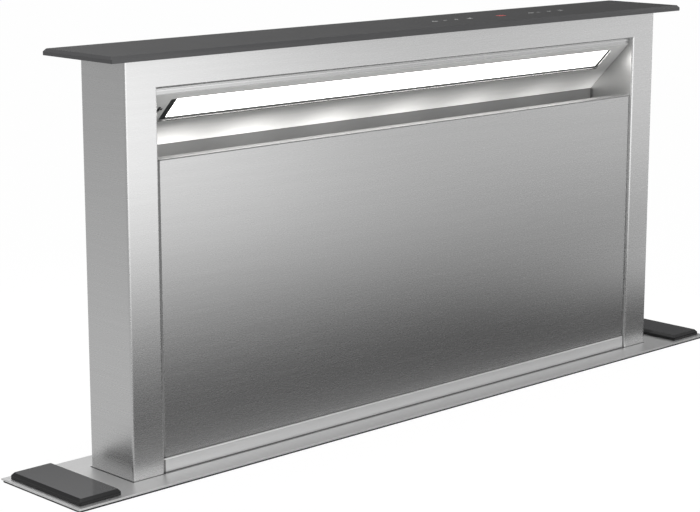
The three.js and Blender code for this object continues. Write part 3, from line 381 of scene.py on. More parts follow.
@dataclass(frozen=True)
class MouldedPlastic(Finish):
    """Injection-moulded plastic: the fine spark-eroded texture of its mould breaks up the light."""

    tint: str = "2b2c2d"
    roughness: float = 0.5
    grit: float = 0.9

    def draw(self, nodes: Nodes, surface: bpy.types.Node) -> None:
        """Spark erosion as a fine grain of the given size in millimetres, drawn coarse enough to show."""
        place = nodes.place()
        grains = nodes.noise(place, 1 / (self.grit * MM), 2.0)
        cloud = nodes.noise(place, 18.0, 2.0)
        feed(surface, {
            "Base Color": linear(self.tint),
            "Roughness": nodes.varied(cloud, self.roughness, 0.06),
            "Normal": nodes.bump(grains, 0.35, 0.1),
        })


@dataclass(frozen=True)
class CastMetal(Finish):
    """Cast or turned metal: a dull skin with small pits, whose size is set by the grit in millimetres."""

    tint: str = "9b9d9f"
    roughness: float = 0.45
    grit: float = 1.6

    def draw(self, nodes: Nodes, surface: bpy.types.Node) -> None:
        """Pits of the casting skin, with a broad cloud in the tone."""
        place = nodes.place()
        pits = nodes.noise(place, 1 / (self.grit * MM), 4.0)
        tone = nodes.mapped(nodes.noise(place, 60.0, 3.0), levels=(0.88, 1.08))
        feed(surface, {
            "Base Color": nodes.scaled(linear(self.tint)[:3], tone),
            "Normal": nodes.bump(pits, 0.3, 0.15),
            "Metallic": 1.0,
            "Roughness": self.roughness,
        })


@dataclass(frozen=True)
class ExpandedMesh(Finish):
    """Layers of expanded aluminium: bright strands in a diamond lattice, with painted shade in the openings
    round them.
    """

    tint: str = "c3c5c5"
    # The openings' dark grey is painted shade.
    shade: str = "3c3e3f"
    opening: float = 6.0
    strand_lean: float = 30.0
    bands_per_scale: float = 3.2

    def draw(self, nodes: Nodes, surface: bpy.types.Node) -> None:
        """Two crossing sets of strands, laid over each other. A wave texture of scale 1 draws bands_per_scale
        bands in each metre."""
        place = nodes.place()
        strands = []
        for hand in HANDS:
            turn = (0.0, math.radians(self.strand_lean) * hand, 0.0)
            turned = nodes.out("ShaderNodeMapping", {"Vector": place, "Rotation": turn})
            scale = 1 / (self.opening * MM * self.bands_per_scale)
            wave = {"Vector": turned, "Scale": scale, "Distortion": 0.4, "Detail": 1.0}
            strands.append(nodes.out("ShaderNodeTexWave", wave, "Fac", bands_direction="Z"))
        lattice = nodes.calc("MAXIMUM", *strands)
        feed(surface, {
            "Base Color": nodes.mixed(lattice, linear(self.shade), linear(self.tint)),
            "Normal": nodes.bump(lattice, 0.6, 0.8),
            "Roughness": 0.38,
            "Metallic": 0.85,
        })


@dataclass(frozen=True)
class CircuitLaminate(Finish):
    """Glass-fibre circuit board under green solder mask, with copper lines showing through it."""

    tint: str = "1f5b3a"
    copper_tint: str = "3d7f55"

    def draw(self, nodes: Nodes, surface: bpy.types.Node) -> None:
        """Copper lines as a grid of 4 mm cells that lighten the mask."""
        bricks = {"Vector": nodes.place(), "Scale": 120.0, "Mortar Size": 0.03}
        cells = nodes.out("ShaderNodeTexBrick", bricks, "Fac")
        feed(surface, {
            "Base Color": nodes.mixed(cells, linear(self.tint), linear(self.copper_tint)),
            "Roughness": 0.38,
        })


@dataclass(frozen=True)
class LitSurface(Finish):
    """A lit window or print: opal acrylic over its lamp, or a glowing digit."""

    tint: str = "ffffff"
    strength: float = 1.0

    def draw(self, nodes: Nodes, surface: bpy.types.Node) -> None:
        """Even light from a satin surface."""
        colour = linear(self.tint)
        feed(surface, {
            "Base Color": colour,
            "Roughness": 0.4,
            "Emission Color": colour,
            "Emission Strength": self.strength,
        })


STEEL = BrushedSteel("brushed_stainless_upright")
# The skin's brushed steel, tinted lighter than the panel's steel as painted light that brightens the stiles.
SKIN_STEEL = BrushedSteel("brushed_stainless_skin", "d9d9d9")
# The slanted plate's steel: a lighter copy with a painted glow below the lamp, both painted light standing in
# for the lamp's light on the plate.
SATIN_STEEL = BrushedSteel("satin_stainless", "dededd", 0.45, Grain.SLANTED, 0.2, 0.6, glow=1.35)
MILL_STEEL = BrushedSteel("mill_finish_stainless", "dfdfdf", 0.5, draw_out=0.0, metallic=0.4)
# The throat leg's steel: a darker copy whose dark tint is painted shade, with a weak painted glow.
SHADE_STEEL = BrushedSteel(
    "stainless_inside_throat", "8f8f8f", 0.5, draw_out=0.1, metallic=0.5, glow=0.1, glow_span=(1.3, 1.0)
)
# The panel's upward faces: a darker copy of the steel, painted shade that dims the lamp's light on them.
SHADED_FLANGE_STEEL = BrushedSteel("stainless_flange", "969696", 0.45, draw_out=0.1, metallic=0.6)
STEEL_LEVEL = BrushedSteel("brushed_stainless_level", "dadada", 0.4, Grain.LEVEL, 0.3, 0.92)
RAIL_STEEL = BrushedSteel("brushed_stainless_rail", "e6e6e6", 0.3, metallic=0.8)
CHEEK_STEEL = BrushedSteel("brushed_stainless_cheek", "d2d2d2", 0.38, draw_out=0.1, metallic=0.9)
GROUND_STEEL = BrushedSteel("ground_steel_shaft", "a4a7a9", 0.22)
GLASS = BlackGlass("black_enamelled_glass")
GROUND_GLASS = BlackGlass("ground_edge_of_black_glass", "3a3a3b", 0.2)
BEVEL_GLASS = BlackGlass("polished_bevel_of_black_glass", "111112")
ZINC = GalvanisedSheet("galvanised_sheet")
DARK_PLASTIC = MouldedPlastic("black_moulded_nylon", "1d1e1f", 0.48)
GREY_PLASTIC = MouldedPlastic("grey_moulded_polypropylene", "55585a", 0.5)
ACETAL = MouldedPlastic("natural_acetal", "dedcd2", 0.36, 2.0)
# Dark grey for the strips along the seams of panel and tray and at the leg's ends: painted shade.
SEAM_SHADE = MouldedPlastic("dark_grey_edging", "646464", 0.7)
RUBBER = MouldedPlastic("black_rubber", "161616", 0.8)
WORKTOP_EDGE = MouldedPlastic("pale_laminate_edge", "cfcecb", 0.6)
CASTING = CastMetal("die_cast_aluminium")
BRASS = CastMetal("turned_brass", "b3914e", 0.3, 2.5)
FILTER_METAL = CastMetal("pressed_aluminium_frame", "b6b8b8", 0.38, 2.2)
ZINC_SCREW = CastMetal("zinc_plated_screw", "b9bcbf", 0.28, 3.0)
FILTER_LATTICE = ExpandedMesh("expanded_aluminium_layers")
BOARD = CircuitLaminate("green_circuit_laminate")
OPAL = LitSurface("lit_opal_acrylic", "fffefb", 5.0)
KEY_PRINT = LitSurface("printed_key_symbol", "c9cac9", 0.12)
RED_DIGIT = LitSurface("lit_red_digit", "c23a34", 0.5)

FINISHED_NODES: dict[Finish, str] = {
    SKIN_STEEL: "tower_skin",
    STEEL: "tower_back_panel lamp_canopy front_panel",
    RAIL_STEEL: "base_rail",
    STEEL_LEVEL: "rim_plate",
    GROUND_STEEL: "cross_shaft flap_pin",
    GLASS: "glass_lid end_pad",
    OPAL: "lamp_diffuser",
    BOARD: "led_board touch_board control_board",
    FILTER_METAL: "filter_frame",
    FILTER_LATTICE: "filter_mesh",
    ACETAL: "carriage",
    BRASS: "shaft_bearing",
    CASTING: "belt_clamp drive_pulley idler_pulley lift_gearmotor fan_motor",
    RUBBER: "worktop_seal tower_wiper toothed_belt",
    GREY_PLASTIC: "panel_magnet scroll_housing scroll_front nonreturn_flap",
    DARK_PLASTIC: "lamp_tray touch_housing inlet_bell duct_adapter duct_collar cable_gland",
    ZINC: "lid_carrier grease_trough casing_shell service_cover floor_bracket guide_rail idler_bracket "
    "fan_wheel control_box",
}
NODE_FINISH = {stem: finish for finish, stems in FINISHED_NODES.items() for stem in stems.split()}


def finish_of(node_name: str) -> Finish:
    """The finish of a CAD node, looked up by the longest name that it starts with."""
    return NODE_FINISH[max((stem for stem in NODE_FINISH if node_name.startswith(stem)), key=len)]


# ---------------------------------------------------------------- meshes


def new_piece(name: str, mesh: bpy.types.Mesh, body: str, finish: Finish) -> bpy.types.Object:
    """Puts a finished mesh into the scene as a piece of the object.

    Args:
        name: the piece's name.
        mesh: its mesh, placed in the row frame.
        body: the moving body that carries it.
        finish: its finish.

    Returns:
        The new object.

    Raises:
        ValueError: if the mesh has no faces, which a render would not show.
    """
    if not mesh.polygons:
        raise ValueError(f"piece {name} has no faces")
    mesh.materials.clear()
    mesh.materials.append(finish.material())
    made = bpy.data.objects.new(name, mesh)
    bpy.context.scene.collection.objects.link(made)
    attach(made, body)
    LOG.info("piece %s: %d faces, on %s", name, len(mesh.polygons), body)
    return made


def welded_copy(source: bpy.types.Object) -> bpy.types.Mesh:
    """A copy of a CAD node's mesh with its corners merged and its flat faces joined.

    Args:
        source: the CAD node's object.

    Returns:
        The new mesh.
    """
    mesh = source.data.copy()
    work = bmesh.new()
    work.from_mesh(mesh)
    bmesh.ops.remove_doubles(work, verts=work.verts, dist=0.002 * MM)
    bmesh.ops.dissolve_limit(
        work, angle_limit=math.radians(0.4), use_dissolve_boundaries=False, verts=work.verts, edges=work.edges
    )
    work.to_mesh(mesh)
    work.free()
    return mesh


def dress_sheet(node: bpy.types.Object, name: str, edge: float = 0) -> bpy.types.Object:
    """Replaces a CAD node by a copy with smooth folds and eased edges, which catch the light.

    Args:
        node: the CAD node's object.
        name: the new piece's name.
        edge: how far each sharp edge is eased, in millimetres.

    Returns:
        The new piece.
    """
    mesh = welded_copy(node)
    mesh.polygons.foreach_set("use_smooth", [True] * len(mesh.polygons))
    mesh.set_sharp_from_angle(angle=math.radians(35))
    made = new_piece(name, mesh, node["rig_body"], finish_of(node.name))
    if edge:
        ease = made.modifiers.new("eased_edges", "BEVEL")
        ease.width = edge * MM
        ease.segments = 2
        ease.limit_method = "ANGLE"
        ease.angle_limit = math.radians(50)
        ease.harden_normals = True
    flat = made.modifiers.new("flat_faces_stay_flat", "WEIGHTED_NORMAL")
    flat.weight = 100
    flat.keep_sharp = True
    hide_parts(node.name)
    return made


def repaint(piece: bpy.types.Object, finish: Finish, rule: Callable[[bpy.types.MeshPolygon], bool]) -> None:
    """Gives another finish to those faces of a piece that a rule picks.

    Args:
        piece: the piece.
        finish: the finish of the picked faces.
        rule: tells for each face whether it is picked.
    """
    piece.data.materials.append(finish.material())
    number = len(piece.data.materials) - 1
    for face in piece.data.polygons:
        if rule(face):
            face.material_index = number


def mesh_of(work: bmesh.types.BMesh, name: str) -> bpy.types.Mesh:
    """Turns finished work into a mesh, and frees the work."""
    mesh = bpy.data.meshes.new(name)
    work.to_mesh(mesh)
    work.free()
    return mesh


def block(middle: Vector, size: Sequence[float], turn: Matrix | None = None) -> Matrix:
    """What makes a unit cube into a block of a size, turned and set on its middle."""
    return Matrix.Translation(middle) @ (turn or Matrix.Identity(4)) @ Matrix.Diagonal((*size, 1))


def span_block(low: Sequence[float], high: Sequence[float]) -> Matrix:
    """What makes a unit cube into the block between two corners."""
    return block((Vector(low) + Vector(high)) / 2, Vector(high) - Vector(low))


def blocks_mesh(name: str, blocks: list[Matrix]) -> bpy.types.Mesh:
    """One mesh of blocks.

    Args:
        name: the mesh's name.
        blocks: what makes a unit cube into each block.

    Returns:
        The new mesh.
    """
    work = bmesh.new()
    for shaping in blocks:
        made = bmesh.ops.create_cube(work, size=1)
        bmesh.ops.transform(work, matrix=shaping, verts=made["verts"])
    return mesh_of(work, name)


def turned_mesh(name: str, profile: list[Span], sides: int, place: Matrix | None = None) -> bpy.types.Mesh:
    """Turns a profile about Z.

    Args:
        name: the mesh's name.
        profile: radius and height of each corner in metres, from the bottom of the axis to its top.
        sides: faces round the turn.
        place: where the turned mesh goes.

    Returns:
        The new mesh.
    """
    work = bmesh.new()
    rings = []
    for radius, height in profile:
        turn = (2 * math.pi * i / sides for i in range(sides if radius else 1))
        rings.append([work.verts.new((radius * math.cos(a), radius * math.sin(a), height)) for a in turn])
    for low, high in zip(rings, rings[1:]):
        for i in range(sides):
            j = (i + 1) % sides
            corners = [low[i % len(low)], low[j % len(low)], high[j % len(high)], high[i % len(high)]]
            work.faces.new(list(dict.fromkeys(corners)))
    bmesh.ops.recalc_face_normals(work, faces=work.faces)
    work.transform(place or Matrix.Identity(4))
    return mesh_of(work, name)


class Head(Enum):
    """Kinds of fastener head: radius in millimetres, faces round it, and a profile from rim to middle, as
    shares of the radius and heights in millimetres."""

    PAN_SCREW = (3.6, 18, ((1, 1.1), (0.82, 1.87), (0.55, 2.2), (0.38, 2.2), (0.3, 0.77), (0, 0.55)))
    FLUSH_SCREW = (3.4, 18, ((1, 0.072), (0.94, 0.12), (0.4, 0.12), (0.34, -0.4), (0, -0.5)))
    RIVET = (3.2, 14, ((1, 0.13), (0.8, 0.806), (0.45, 1.196), (0.2, 1.118), (0, 1.04)))
    HEX_BOLT = (6.5, 6, ((1, 4.558), (0.88, 5.3), (0, 5.3)))

    def mesh(self) -> bpy.types.Mesh:
        """The head's mesh: its top along Z, and sunk a little into what it stands on.

        Returns:
            The new mesh.
        """
        radius, sides, top = self.value
        corners = ((0, HEAD_FOOT), (1, HEAD_FOOT), *top)
        profile = [(share * radius * MM, height * MM) for share, height in corners]
        return turned_mesh(f"{self.name.lower()}_head", profile, sides)


# ---------------------------------------------------------------- repeated pieces by Geometry Nodes


@dataclass
class Stand:
    """One place of a repeated piece: where it stands, which way its top faces and which way it points."""

    place: Vector
    facing: Vector
    along: Vector = field(default_factory=lambda: RIGHT.copy())


def row(start: Vector, end: Vector, count: int, facing: Vector, along: Vector = RIGHT) -> list[Stand]:
    """Even stands from one place to another, both ends included."""
    return [Stand(start.lerp(end, i / (count - 1)), facing, along) for i in range(count)]


def column(
    x: float, y: float, heights: Span, count: int, facing: Vector, along: Vector = RIGHT
) -> list[Stand]:
    """Even stands up an upright line, both ends included."""
    return row(Vector((x, y, heights[0])), Vector((x, y, heights[1])), count, facing, along)


class Repeater:
    """Sets copies of one small mesh on marked points, through a Geometry Nodes tree."""

    def __init__(self) -> None:
        """Builds the tree once: points in, joined copies with a material out."""
        self.tree = bpy.data.node_groups.new("repeat_on_points", "GeometryNodeTree")
        face, nodes = self.tree.interface, Nodes(self.tree)
        face.new_socket("Points", in_out="INPUT", socket_type="NodeSocketGeometry")
        self.template_socket = face.new_socket("Template", in_out="INPUT", socket_type="NodeSocketObject")
        self.material_socket = face.new_socket("Finish", in_out="INPUT", socket_type="NodeSocketMaterial")
        face.new_socket("Copies", in_out="OUTPUT", socket_type="NodeSocketGeometry")
        given = nodes.add("NodeGroupInput").outputs
        template = nodes.out("GeometryNodeObjectInfo", {"Object": given["Template"]}, "Geometry")
        named, turn = "GeometryNodeInputNamedAttribute", "FunctionNodeAlignRotationToVector"
        facing, along = (
            nodes.out(named, {"Name": name}, "Attribute", data_type="FLOAT_VECTOR")
            for name in ("facing", "along")
        )
        upright = nodes.out(turn, {"Vector": facing}, axis="Z")
        turned = nodes.out(turn, {"Rotation": upright, "Vector": along}, axis="X", pivot_axis="Z")
        sockets = {"Points": given["Points"], "Instance": template, "Rotation": turned}
        copies = nodes.out("GeometryNodeInstanceOnPoints", sockets)
        joined = nodes.out("GeometryNodeRealizeInstances", {"Geometry": copies})
        painted = nodes.out("GeometryNodeSetMaterial", {"Geometry": joined, "Material": given["Finish"]})
        nodes.add("NodeGroupOutput", {"Copies": painted})

    def piece(
        self, name: str, template: bpy.types.Mesh, stands: list[Stand], body: str, slot: str, finish: Finish
    ) -> None:
        """Makes one piece of all copies.

        Args:
            name: the piece's name.
            template: the mesh to repeat, standing on the origin with its top along Z.
            stands: where the copies go.
            body: the body that carries them.
            slot: not used.
            finish: their finish.
        """
        points = bpy.data.meshes.new(f"{name}_points")
        points.from_pydata([stand.place for stand in stands], [], [])
        for key in ("facing", "along"):
            store = points.attributes.new(key, "FLOAT_VECTOR", "POINT")
            store.data.foreach_set("vector", [value for stand in stands for value in getattr(stand, key)])
        carrier = bpy.data.objects.new(f"{name}_carrier", points)
        model = bpy.data.objects.new(f"{name}_template", template)
        for helper in (carrier, model):
            bpy.context.scene.collection.objects.link(helper)
        modifier = carrier.modifiers.new("repeat", "NODES")
        modifier.node_group = self.tree
        modifier[self.template_socket.identifier] = model
        modifier[self.material_socket.identifier] = finish.material()
        bpy.context.view_layer.update()
        evaluated = carrier.evaluated_get(bpy.context.evaluated_depsgraph_get())
        mesh = bpy.data.meshes.new_from_object(evaluated)
        mesh.name = name
        carrier.modifiers.remove(modifier)
        for helper in (carrier, model):
            bpy.data.objects.remove(helper)
        new_piece(name, mesh, body, finish)


@dataclass
class Section:
    """One section of the appliance: the CAD nodes that it dresses, and the repeater of its small parts."""

    nodes: dict[str, bpy.types.Object]
    repeater: Repeater

    def dress_all(self, names: Sequence[str], suffix: str, slot: str, edge: float = 0) -> None:
        """Dresses CAD nodes. Each new piece is named after its node, with a suffix."""
        for name in names:
            dress_sheet(self.nodes[name], f"{name}_{suffix}", edge)

    def fasteners(self, name: str, kind: Head, stands: list[Stand], body: str = "casing") -> None:
        """Sets zinc-plated heads of one kind on their places, as one piece."""
        self.repeater.piece(name, kind.mesh(), stands, body, "shaft_steel", ZINC_SCREW)


# ---------------------------------------------------------------- the tower


@dataclass
class Tower(Section):
    """The raised tower: folded skin, panels, lit slot and what holds them."""

    cheek_reach: float = 1.6
    crease_rise: float = 3.4
    screw_inset: float = 7.0
    screw_ends: float = 30.0
    back_screws: int = 6

    def dress(self) -> None:
        """Dresses the sheets and adds the flush screws of the back."""
        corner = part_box("front_panel")[1]
        inner = corner.x + self.cheek_reach * MM
        crease = corner.z + self.crease_rise * MM
        skin = dress_sheet(self.nodes["tower_skin"], "folded_skin", 0.2)
        repaint(skin, CHEEK_STEEL, lambda face: abs(face.normal.x) > 0.9 and abs(face.center.x) < inner)
        dress_sheet(self.nodes["tower_back_panel"], "back_sheet")
        canopy = dress_sheet(self.nodes["lamp_canopy"], "slanted_plate", 0.15)
        # The plate's downward faces get the lighter steel with the painted glow.
        repaint(canopy, SATIN_STEEL, lambda face: face.normal.z < -0.25 and face.normal.y < 0)
        # The leg below the crease gets the darker steel of painted shade, with a weak painted glow.
        repaint(canopy, SHADE_STEEL, lambda face: face.center.z < crease and face.normal.y < -0.9)
        dress_sheet(self.nodes["base_rail"], "base_tray", 0.3)
        panel = dress_sheet(self.nodes["front_panel"], "panel_tray")
        repaint(panel, MILL_STEEL, lambda face: face.normal.y > 0.5)
        # The panel's upward faces get the darker steel of painted shade.
        repaint(panel, SHADED_FLANGE_STEEL, lambda face: face.normal.z > 0.7)
        self.back_fasteners()

    def back_fasteners(self) -> None:
        """Flush screws down both edges of the back, level with the sheet so that they pass the rim."""
        low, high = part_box("tower_skin")
        reach = high.x - self.screw_inset * MM
        heights = (low.z + self.screw_ends * MM, high.z - self.screw_ends * MM)
        stands = [
            stand for hand in HANDS for stand in column(hand * reach, high.y, heights, self.back_screws, AWAY)
        ]
        self.fasteners("back_screws", Head.FLUSH_SCREW, stands, "tower")


@dataclass
class Lamp:
    """The trim of the lit window in the slanted plate, and the beads above it, in millimetres."""

    top_y: float = -25.9
    top_z: float = 1068.1
    run: float = 52.5
    drop: float = 53.6
    half_length: float = 309.0
    window_from: float = 8.0
    window_to: float = 37.0
    rebate: float = -1.9
    sink: float = 0.2
    cap_width: float = 7.0
    cap_top: float = -0.3
    clip_parts: tuple[tuple[float, ...], ...] = (
        (-9.5, -7.0, 17.5, 24.5, 0.35),
        (-6.0, -4.0, 20.0, 22.0, 0.3),
    )
    gasket_width: float = 0.9
    lip_width: float = 1.5
    lip_rise: float = 0.7
    bead_height: float = 0.6
    bead_width: float = 1.1
    bead_half: float = 333.0
    strip_beads: tuple[float, ...] = (1072.2, 1078.6)

    def dress(self) -> None:
        """Adds the window's end cap, clip, gasket and lip, and the beads of the strip above it."""
        near, far, half, seal = self.window_from, self.window_to, self.half_length, self.gasket_width
        lip, sink, rebate = self.lip_width, self.sink, self.rebate
        cap = [(-half, -half + self.cap_width, near, far, rebate, self.cap_top)]
        clip = [(x0 - half, x1 - half, low, high, -sink, top) for x0, x1, low, high, top in self.clip_parts]
        gasket = [
            (-half, half, far - seal, far, rebate, -sink),
            (half - seal, half, near, far, rebate, -sink),
        ]
        edge = [
            (-half, half + lip, far + sink, far + lip, -sink, self.lip_rise),
            (half + sink, half + lip, near, far, -sink, self.lip_rise),
        ]
        for name, spans, slot, finish in (
            ("lamp_end_cap", cap, "black_plastic", DARK_PLASTIC),
            ("lamp_clip", clip, "black_plastic", DARK_PLASTIC),
            ("lamp_gasket", gasket, "rubber", RUBBER),
            ("lamp_lip", edge, "brushed_steel", STEEL),
        ):
            new_piece(name, blocks_mesh(name, self.bars(spans)), "tower", finish)
        size = Vector((2 * self.bead_half, self.bead_height, self.bead_width)) * MM
        middle = self.top_y - self.bead_height / 2
        beads = [block(Vector((0, middle, z)) * MM, size) for z in self.strip_beads]
        new_piece("strip_beads", blocks_mesh("strip_beads", beads), "tower", SKIN_STEEL)

    def bars(self, spans: list[tuple[float, ...]]) -> list[Matrix]:
        """Bars on the slanted plate.

        Args:
            spans: for each bar its ends in X, then along the slope, then out of the plate, in millimetres.

        Returns:
            What makes a unit cube into each bar.
        """
        slope = math.atan2(self.drop, self.run)
        frame = Matrix.Translation(Vector((0, self.top_y, self.top_z)) * MM) @ Matrix.Rotation(-slope, 4, "X")
        return [
            frame @ span_block(Vector((x0, near, -high)) * MM, Vector((x1, far, -low)) * MM)
            for x0, x1, near, far, low, high in spans
        ]


@dataclass
class Seams:
    """Thin dark strips of painted shade along the seams of panel and tray and at both ends of the throat's
    leg, and the panel's side lip.

    All sizes are in millimetres, and most places are counted from a corner of the panel, the tray or the rim.
    """

    proud: float = 0.15
    depth: float = 0.4
    overlap: float = 0.2
    side_width: float = 2.5
    side_top: float = -0.5
    foot_width: float = 1.0
    hem: Span = (-1.4, -0.7)
    lip_y: Span = (1.0, 3.0)
    lip_proud: float = 0.6
    tray_side_width: float = 1.6
    tray_side_top: float = -1.0
    tray_foot: Span = (-0.4, 0.5)
    leg_end_shade_x: Span = (-0.5, 0.4)
    leg_end_shade_y: Span = (24.5, 26.2)
    leg_end_shade_z: Span = (985.0, 1013.8)

    def dress(self) -> None:
        """Adds the strips: two pieces on the panel and one on the tower."""
        low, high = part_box("front_panel")
        out, rear = low.y - self.proud * MM, low.y + self.depth * MM
        side, side_top = low.x + self.side_width * MM, high.z + self.side_top * MM
        hem_foot, hem_top = (high.z + z * MM for z in self.hem)
        lip_front, lip_rear = (low.y + y * MM for y in self.lip_y)
        # Dark strips of painted shade down the panel's left side, along its foot and under its top hem.
        shade_strips = [
            span_block((low.x + self.overlap * MM, out, low.z), (side, rear, side_top)),
            span_block((low.x, out, low.z), (high.x, rear, low.z + self.foot_width * MM)),
            span_block((low.x, out, hem_foot), (high.x, rear, hem_top)),
        ]
        lip = span_block(
            (high.x - self.overlap * MM, lip_front, low.z), (high.x + self.lip_proud * MM, lip_rear, high.z)
        )
        for name, blocks, body, slot, finish in (
            ("panel_edging", shade_strips, "front_panel", "rubber", SEAM_SHADE),
            ("panel_side_lip", [lip], "front_panel", "brushed_steel", SKIN_STEEL),
            ("tower_edging", self.on_tower(high.x), "tower", "rubber", SEAM_SHADE),
        ):
            new_piece(name, blocks_mesh(name, blocks), body, finish)

    def on_tower(self, panel_side: float) -> list[Matrix]:
        """Dark strips of painted shade at the tray's left side and foot, and at both ends of the throat's
        leg.

        Args:
            panel_side: X of the panel's right side, in metres.

        Returns:
            What makes a unit cube into each strip.
        """
        low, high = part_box("base_rail")
        out = low.y - self.proud * MM
        rim_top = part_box("rim_plate")[1].z
        foot, foot_top = (rim_top + z * MM for z in self.tray_foot)
        side, side_top = low.x + self.tray_side_width * MM, high.z + self.tray_side_top * MM
        strips = [
            span_block((low.x, out, low.z), (side, low.y, side_top)),
            span_block((low.x, out, foot), (high.x, low.y + self.overlap * MM, foot_top)),
        ]
        near, far = (y * MM for y in self.leg_end_shade_y)
        leg_foot, leg_top = (z * MM for z in self.leg_end_shade_z)
        # Dark strips at both ends of the leg, in its corners with the cheeks: painted shade.
        for hand in HANDS:
            start, end = sorted(hand * (panel_side + x * MM) for x in self.leg_end_shade_x)
            strips.append(span_block((start, near, leg_foot), (end, far, leg_top)))
        return strips


@dataclass
class Filters(Section):
    """The grease filters' expanded metal: crossing strands on the pleats of each pack, in millimetres."""

    cell_width: float = 8.6
    cell_height: float = 6.0
    strand: float = 0.7
    margin: float = 4.0
    least_pleat: float = 1000.0

    def dress(self) -> None:
        """Adds the lattice on the front of both filters, and smooths their frames."""
        for side in SIDES:
            self.dress_all([f"filter_frame_{side}"], "pressing", "cast_aluminium", 0.3)
            self.lattice(side)

    def lattice(self, side: str) -> None:
        """Sets crossed strands over every front pleat of one filter pack.

        Args:
            side: left or right.
        """
        pack = welded_copy(self.nodes[f"filter_mesh_{side}"])
        stands = []
        for pleat in pack.polygons:
            if pleat.normal.y < -0.5 and pleat.area > self.least_pleat * MM * MM:
                stands += self.pleat_stands(pack, pleat)
        name = f"filter_lattice_{side}"
        self.repeater.piece(name, self.cell(), stands, f"filter_{side}", "mesh_aluminium", FILTER_METAL)

    def pleat_stands(self, pack: bpy.types.Mesh, pleat: bpy.types.MeshPolygon) -> list[Stand]:
        """One column of cells up the middle of a pleat.

        Args:
            pack: the mesh of the filter pack.
            pleat: the flat face of one pleat.

        Returns:
            The places of the cells.
        """
        corners = [pack.vertices[i].co for i in pleat.vertices]
        facing = pleat.normal.copy()
        edges = (end - start for start, end in zip(corners, corners[1:] + corners[:1]))
        rise = max(edges, key=lambda edge: edge.length).normalized()
        half = max(abs((corner - pleat.center).dot(rise)) for corner in corners) - self.margin * MM
        count = int(2 * half / (self.cell_height * MM))
        ends = Vector(pleat.center) - rise * half, Vector(pleat.center) + rise * half
        return row(*ends, count, facing, rise.cross(facing))

    def cell(self) -> bpy.types.Mesh:
        """One cell of the lattice: two crossing strands, flat in X and Y."""
        size = Vector((math.hypot(self.cell_width, self.cell_height), self.strand, self.strand)) * MM
        lean = math.atan2(self.cell_height, self.cell_width)
        strands = [
            block(UP * 0.2 * self.strand * MM * (1 + hand), size, Matrix.Rotation(hand * lean, 4, "Z"))
            for hand in HANDS
        ]
        return blocks_mesh("filter_cell", strands)


@dataclass
class TouchControl:
    """Printed key symbols and the lit display, drawn as thin films on the lid's glass, in millimetres."""

    film: float = 0.06
    stroke: float = 0.7
    symbol: float = 5.0
    stack_pitch: float = 1.8
    ring_bars: int = 14
    key_places: tuple[float, ...] = (50.0, 65.5, 82.0, 102.0, 198.0, 210.0, 227.0, 246.0)
    digit_places: Span = (147.4, 152.6)
    digit_width: float = 3.2

    def dress(self) -> None:
        """Draws the keys and the display."""
        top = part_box("glass_lid")[1].z
        keys, digits = [], []
        for number, x in enumerate(self.key_places):
            keys += self.key(number, Vector((x * MM, 0, top)))
        for x in self.digit_places:
            digits += self.digit(Vector((x * MM, 0, top)))
        new_piece("key_symbols", blocks_mesh("key_symbols", keys), "tower", KEY_PRINT)
        new_piece("display_digits", blocks_mesh("display_digits", digits), "tower", RED_DIGIT)

    def bar(self, centre: Vector, across: float, deep: float, turn: float = 0) -> Matrix:
        """One thin printed bar, by its centre in metres, its size in millimetres and its turn in radians."""
        return block(centre, Vector((across, deep, self.film)) * MM, Matrix.Rotation(turn, 4, "Z"))

    def key(self, number: int, centre: Vector) -> list[Matrix]:
        """One of the plain symbols: a ring, a minus, a plus or stacked bars."""
        if number % 4 == 0:
            return self.ring(centre, self.symbol / 2)
        if number % 4 == 3:
            shifts = (-self.stack_pitch, 0, self.stack_pitch)
            return [self.bar(centre + AWAY * shift * MM, self.symbol, self.stroke) for shift in shifts]
        minus = self.bar(centre, self.symbol, self.stroke)
        return [minus] if number % 4 == 1 else [minus, self.bar(centre, self.stroke, self.symbol)]

    def ring(self, centre: Vector, radius: float) -> list[Matrix]:
        """A ring of short bars that overlap a little."""
        length = 2.2 * math.pi * radius / self.ring_bars
        turns = (2 * math.pi * i / self.ring_bars for i in range(self.ring_bars))
        return [
            self.bar(centre + Vector((math.cos(a), math.sin(a), 0)) * radius * MM, self.stroke, length, a)
            for a in turns
        ]

    def digit(self, centre: Vector) -> list[Matrix]:
        """A plain seven-bar figure eight."""
        width = self.digit_width
        level = [self.bar(centre + AWAY * step * width * MM, width, self.stroke) for step in (-1, 0, 1)]
        upright = [
            self.bar(centre + Vector((across, up, 0)) * width / 2 * MM, self.stroke, width - 0.6)
            for across in HANDS
            for up in HANDS
        ]
        return level + upright


@dataclass
class GlassTops:
    """The glass lid and the two pads, of the same black glass with bevelled edges, and the rim under them."""

    nodes: dict[str, bpy.types.Object]

    def dress(self) -> None:
        """Dresses the four plates."""
        lid = dress_sheet(self.nodes["glass_lid"], "lid_glass", 0.25)
        repaint(lid, GROUND_GLASS, lambda face: face.normal.y < -0.3)
        for side in SIDES:
            pad = dress_sheet(self.nodes[f"end_pad_{side}"], f"pad_glass_{side}", 0.25)
            repaint(pad, BEVEL_GLASS, lambda face: face.normal.z < 0.9)
        dress_sheet(self.nodes["rim_plate"], "rim_sheet", 0.3)


# ---------------------------------------------------------------- under the worktop


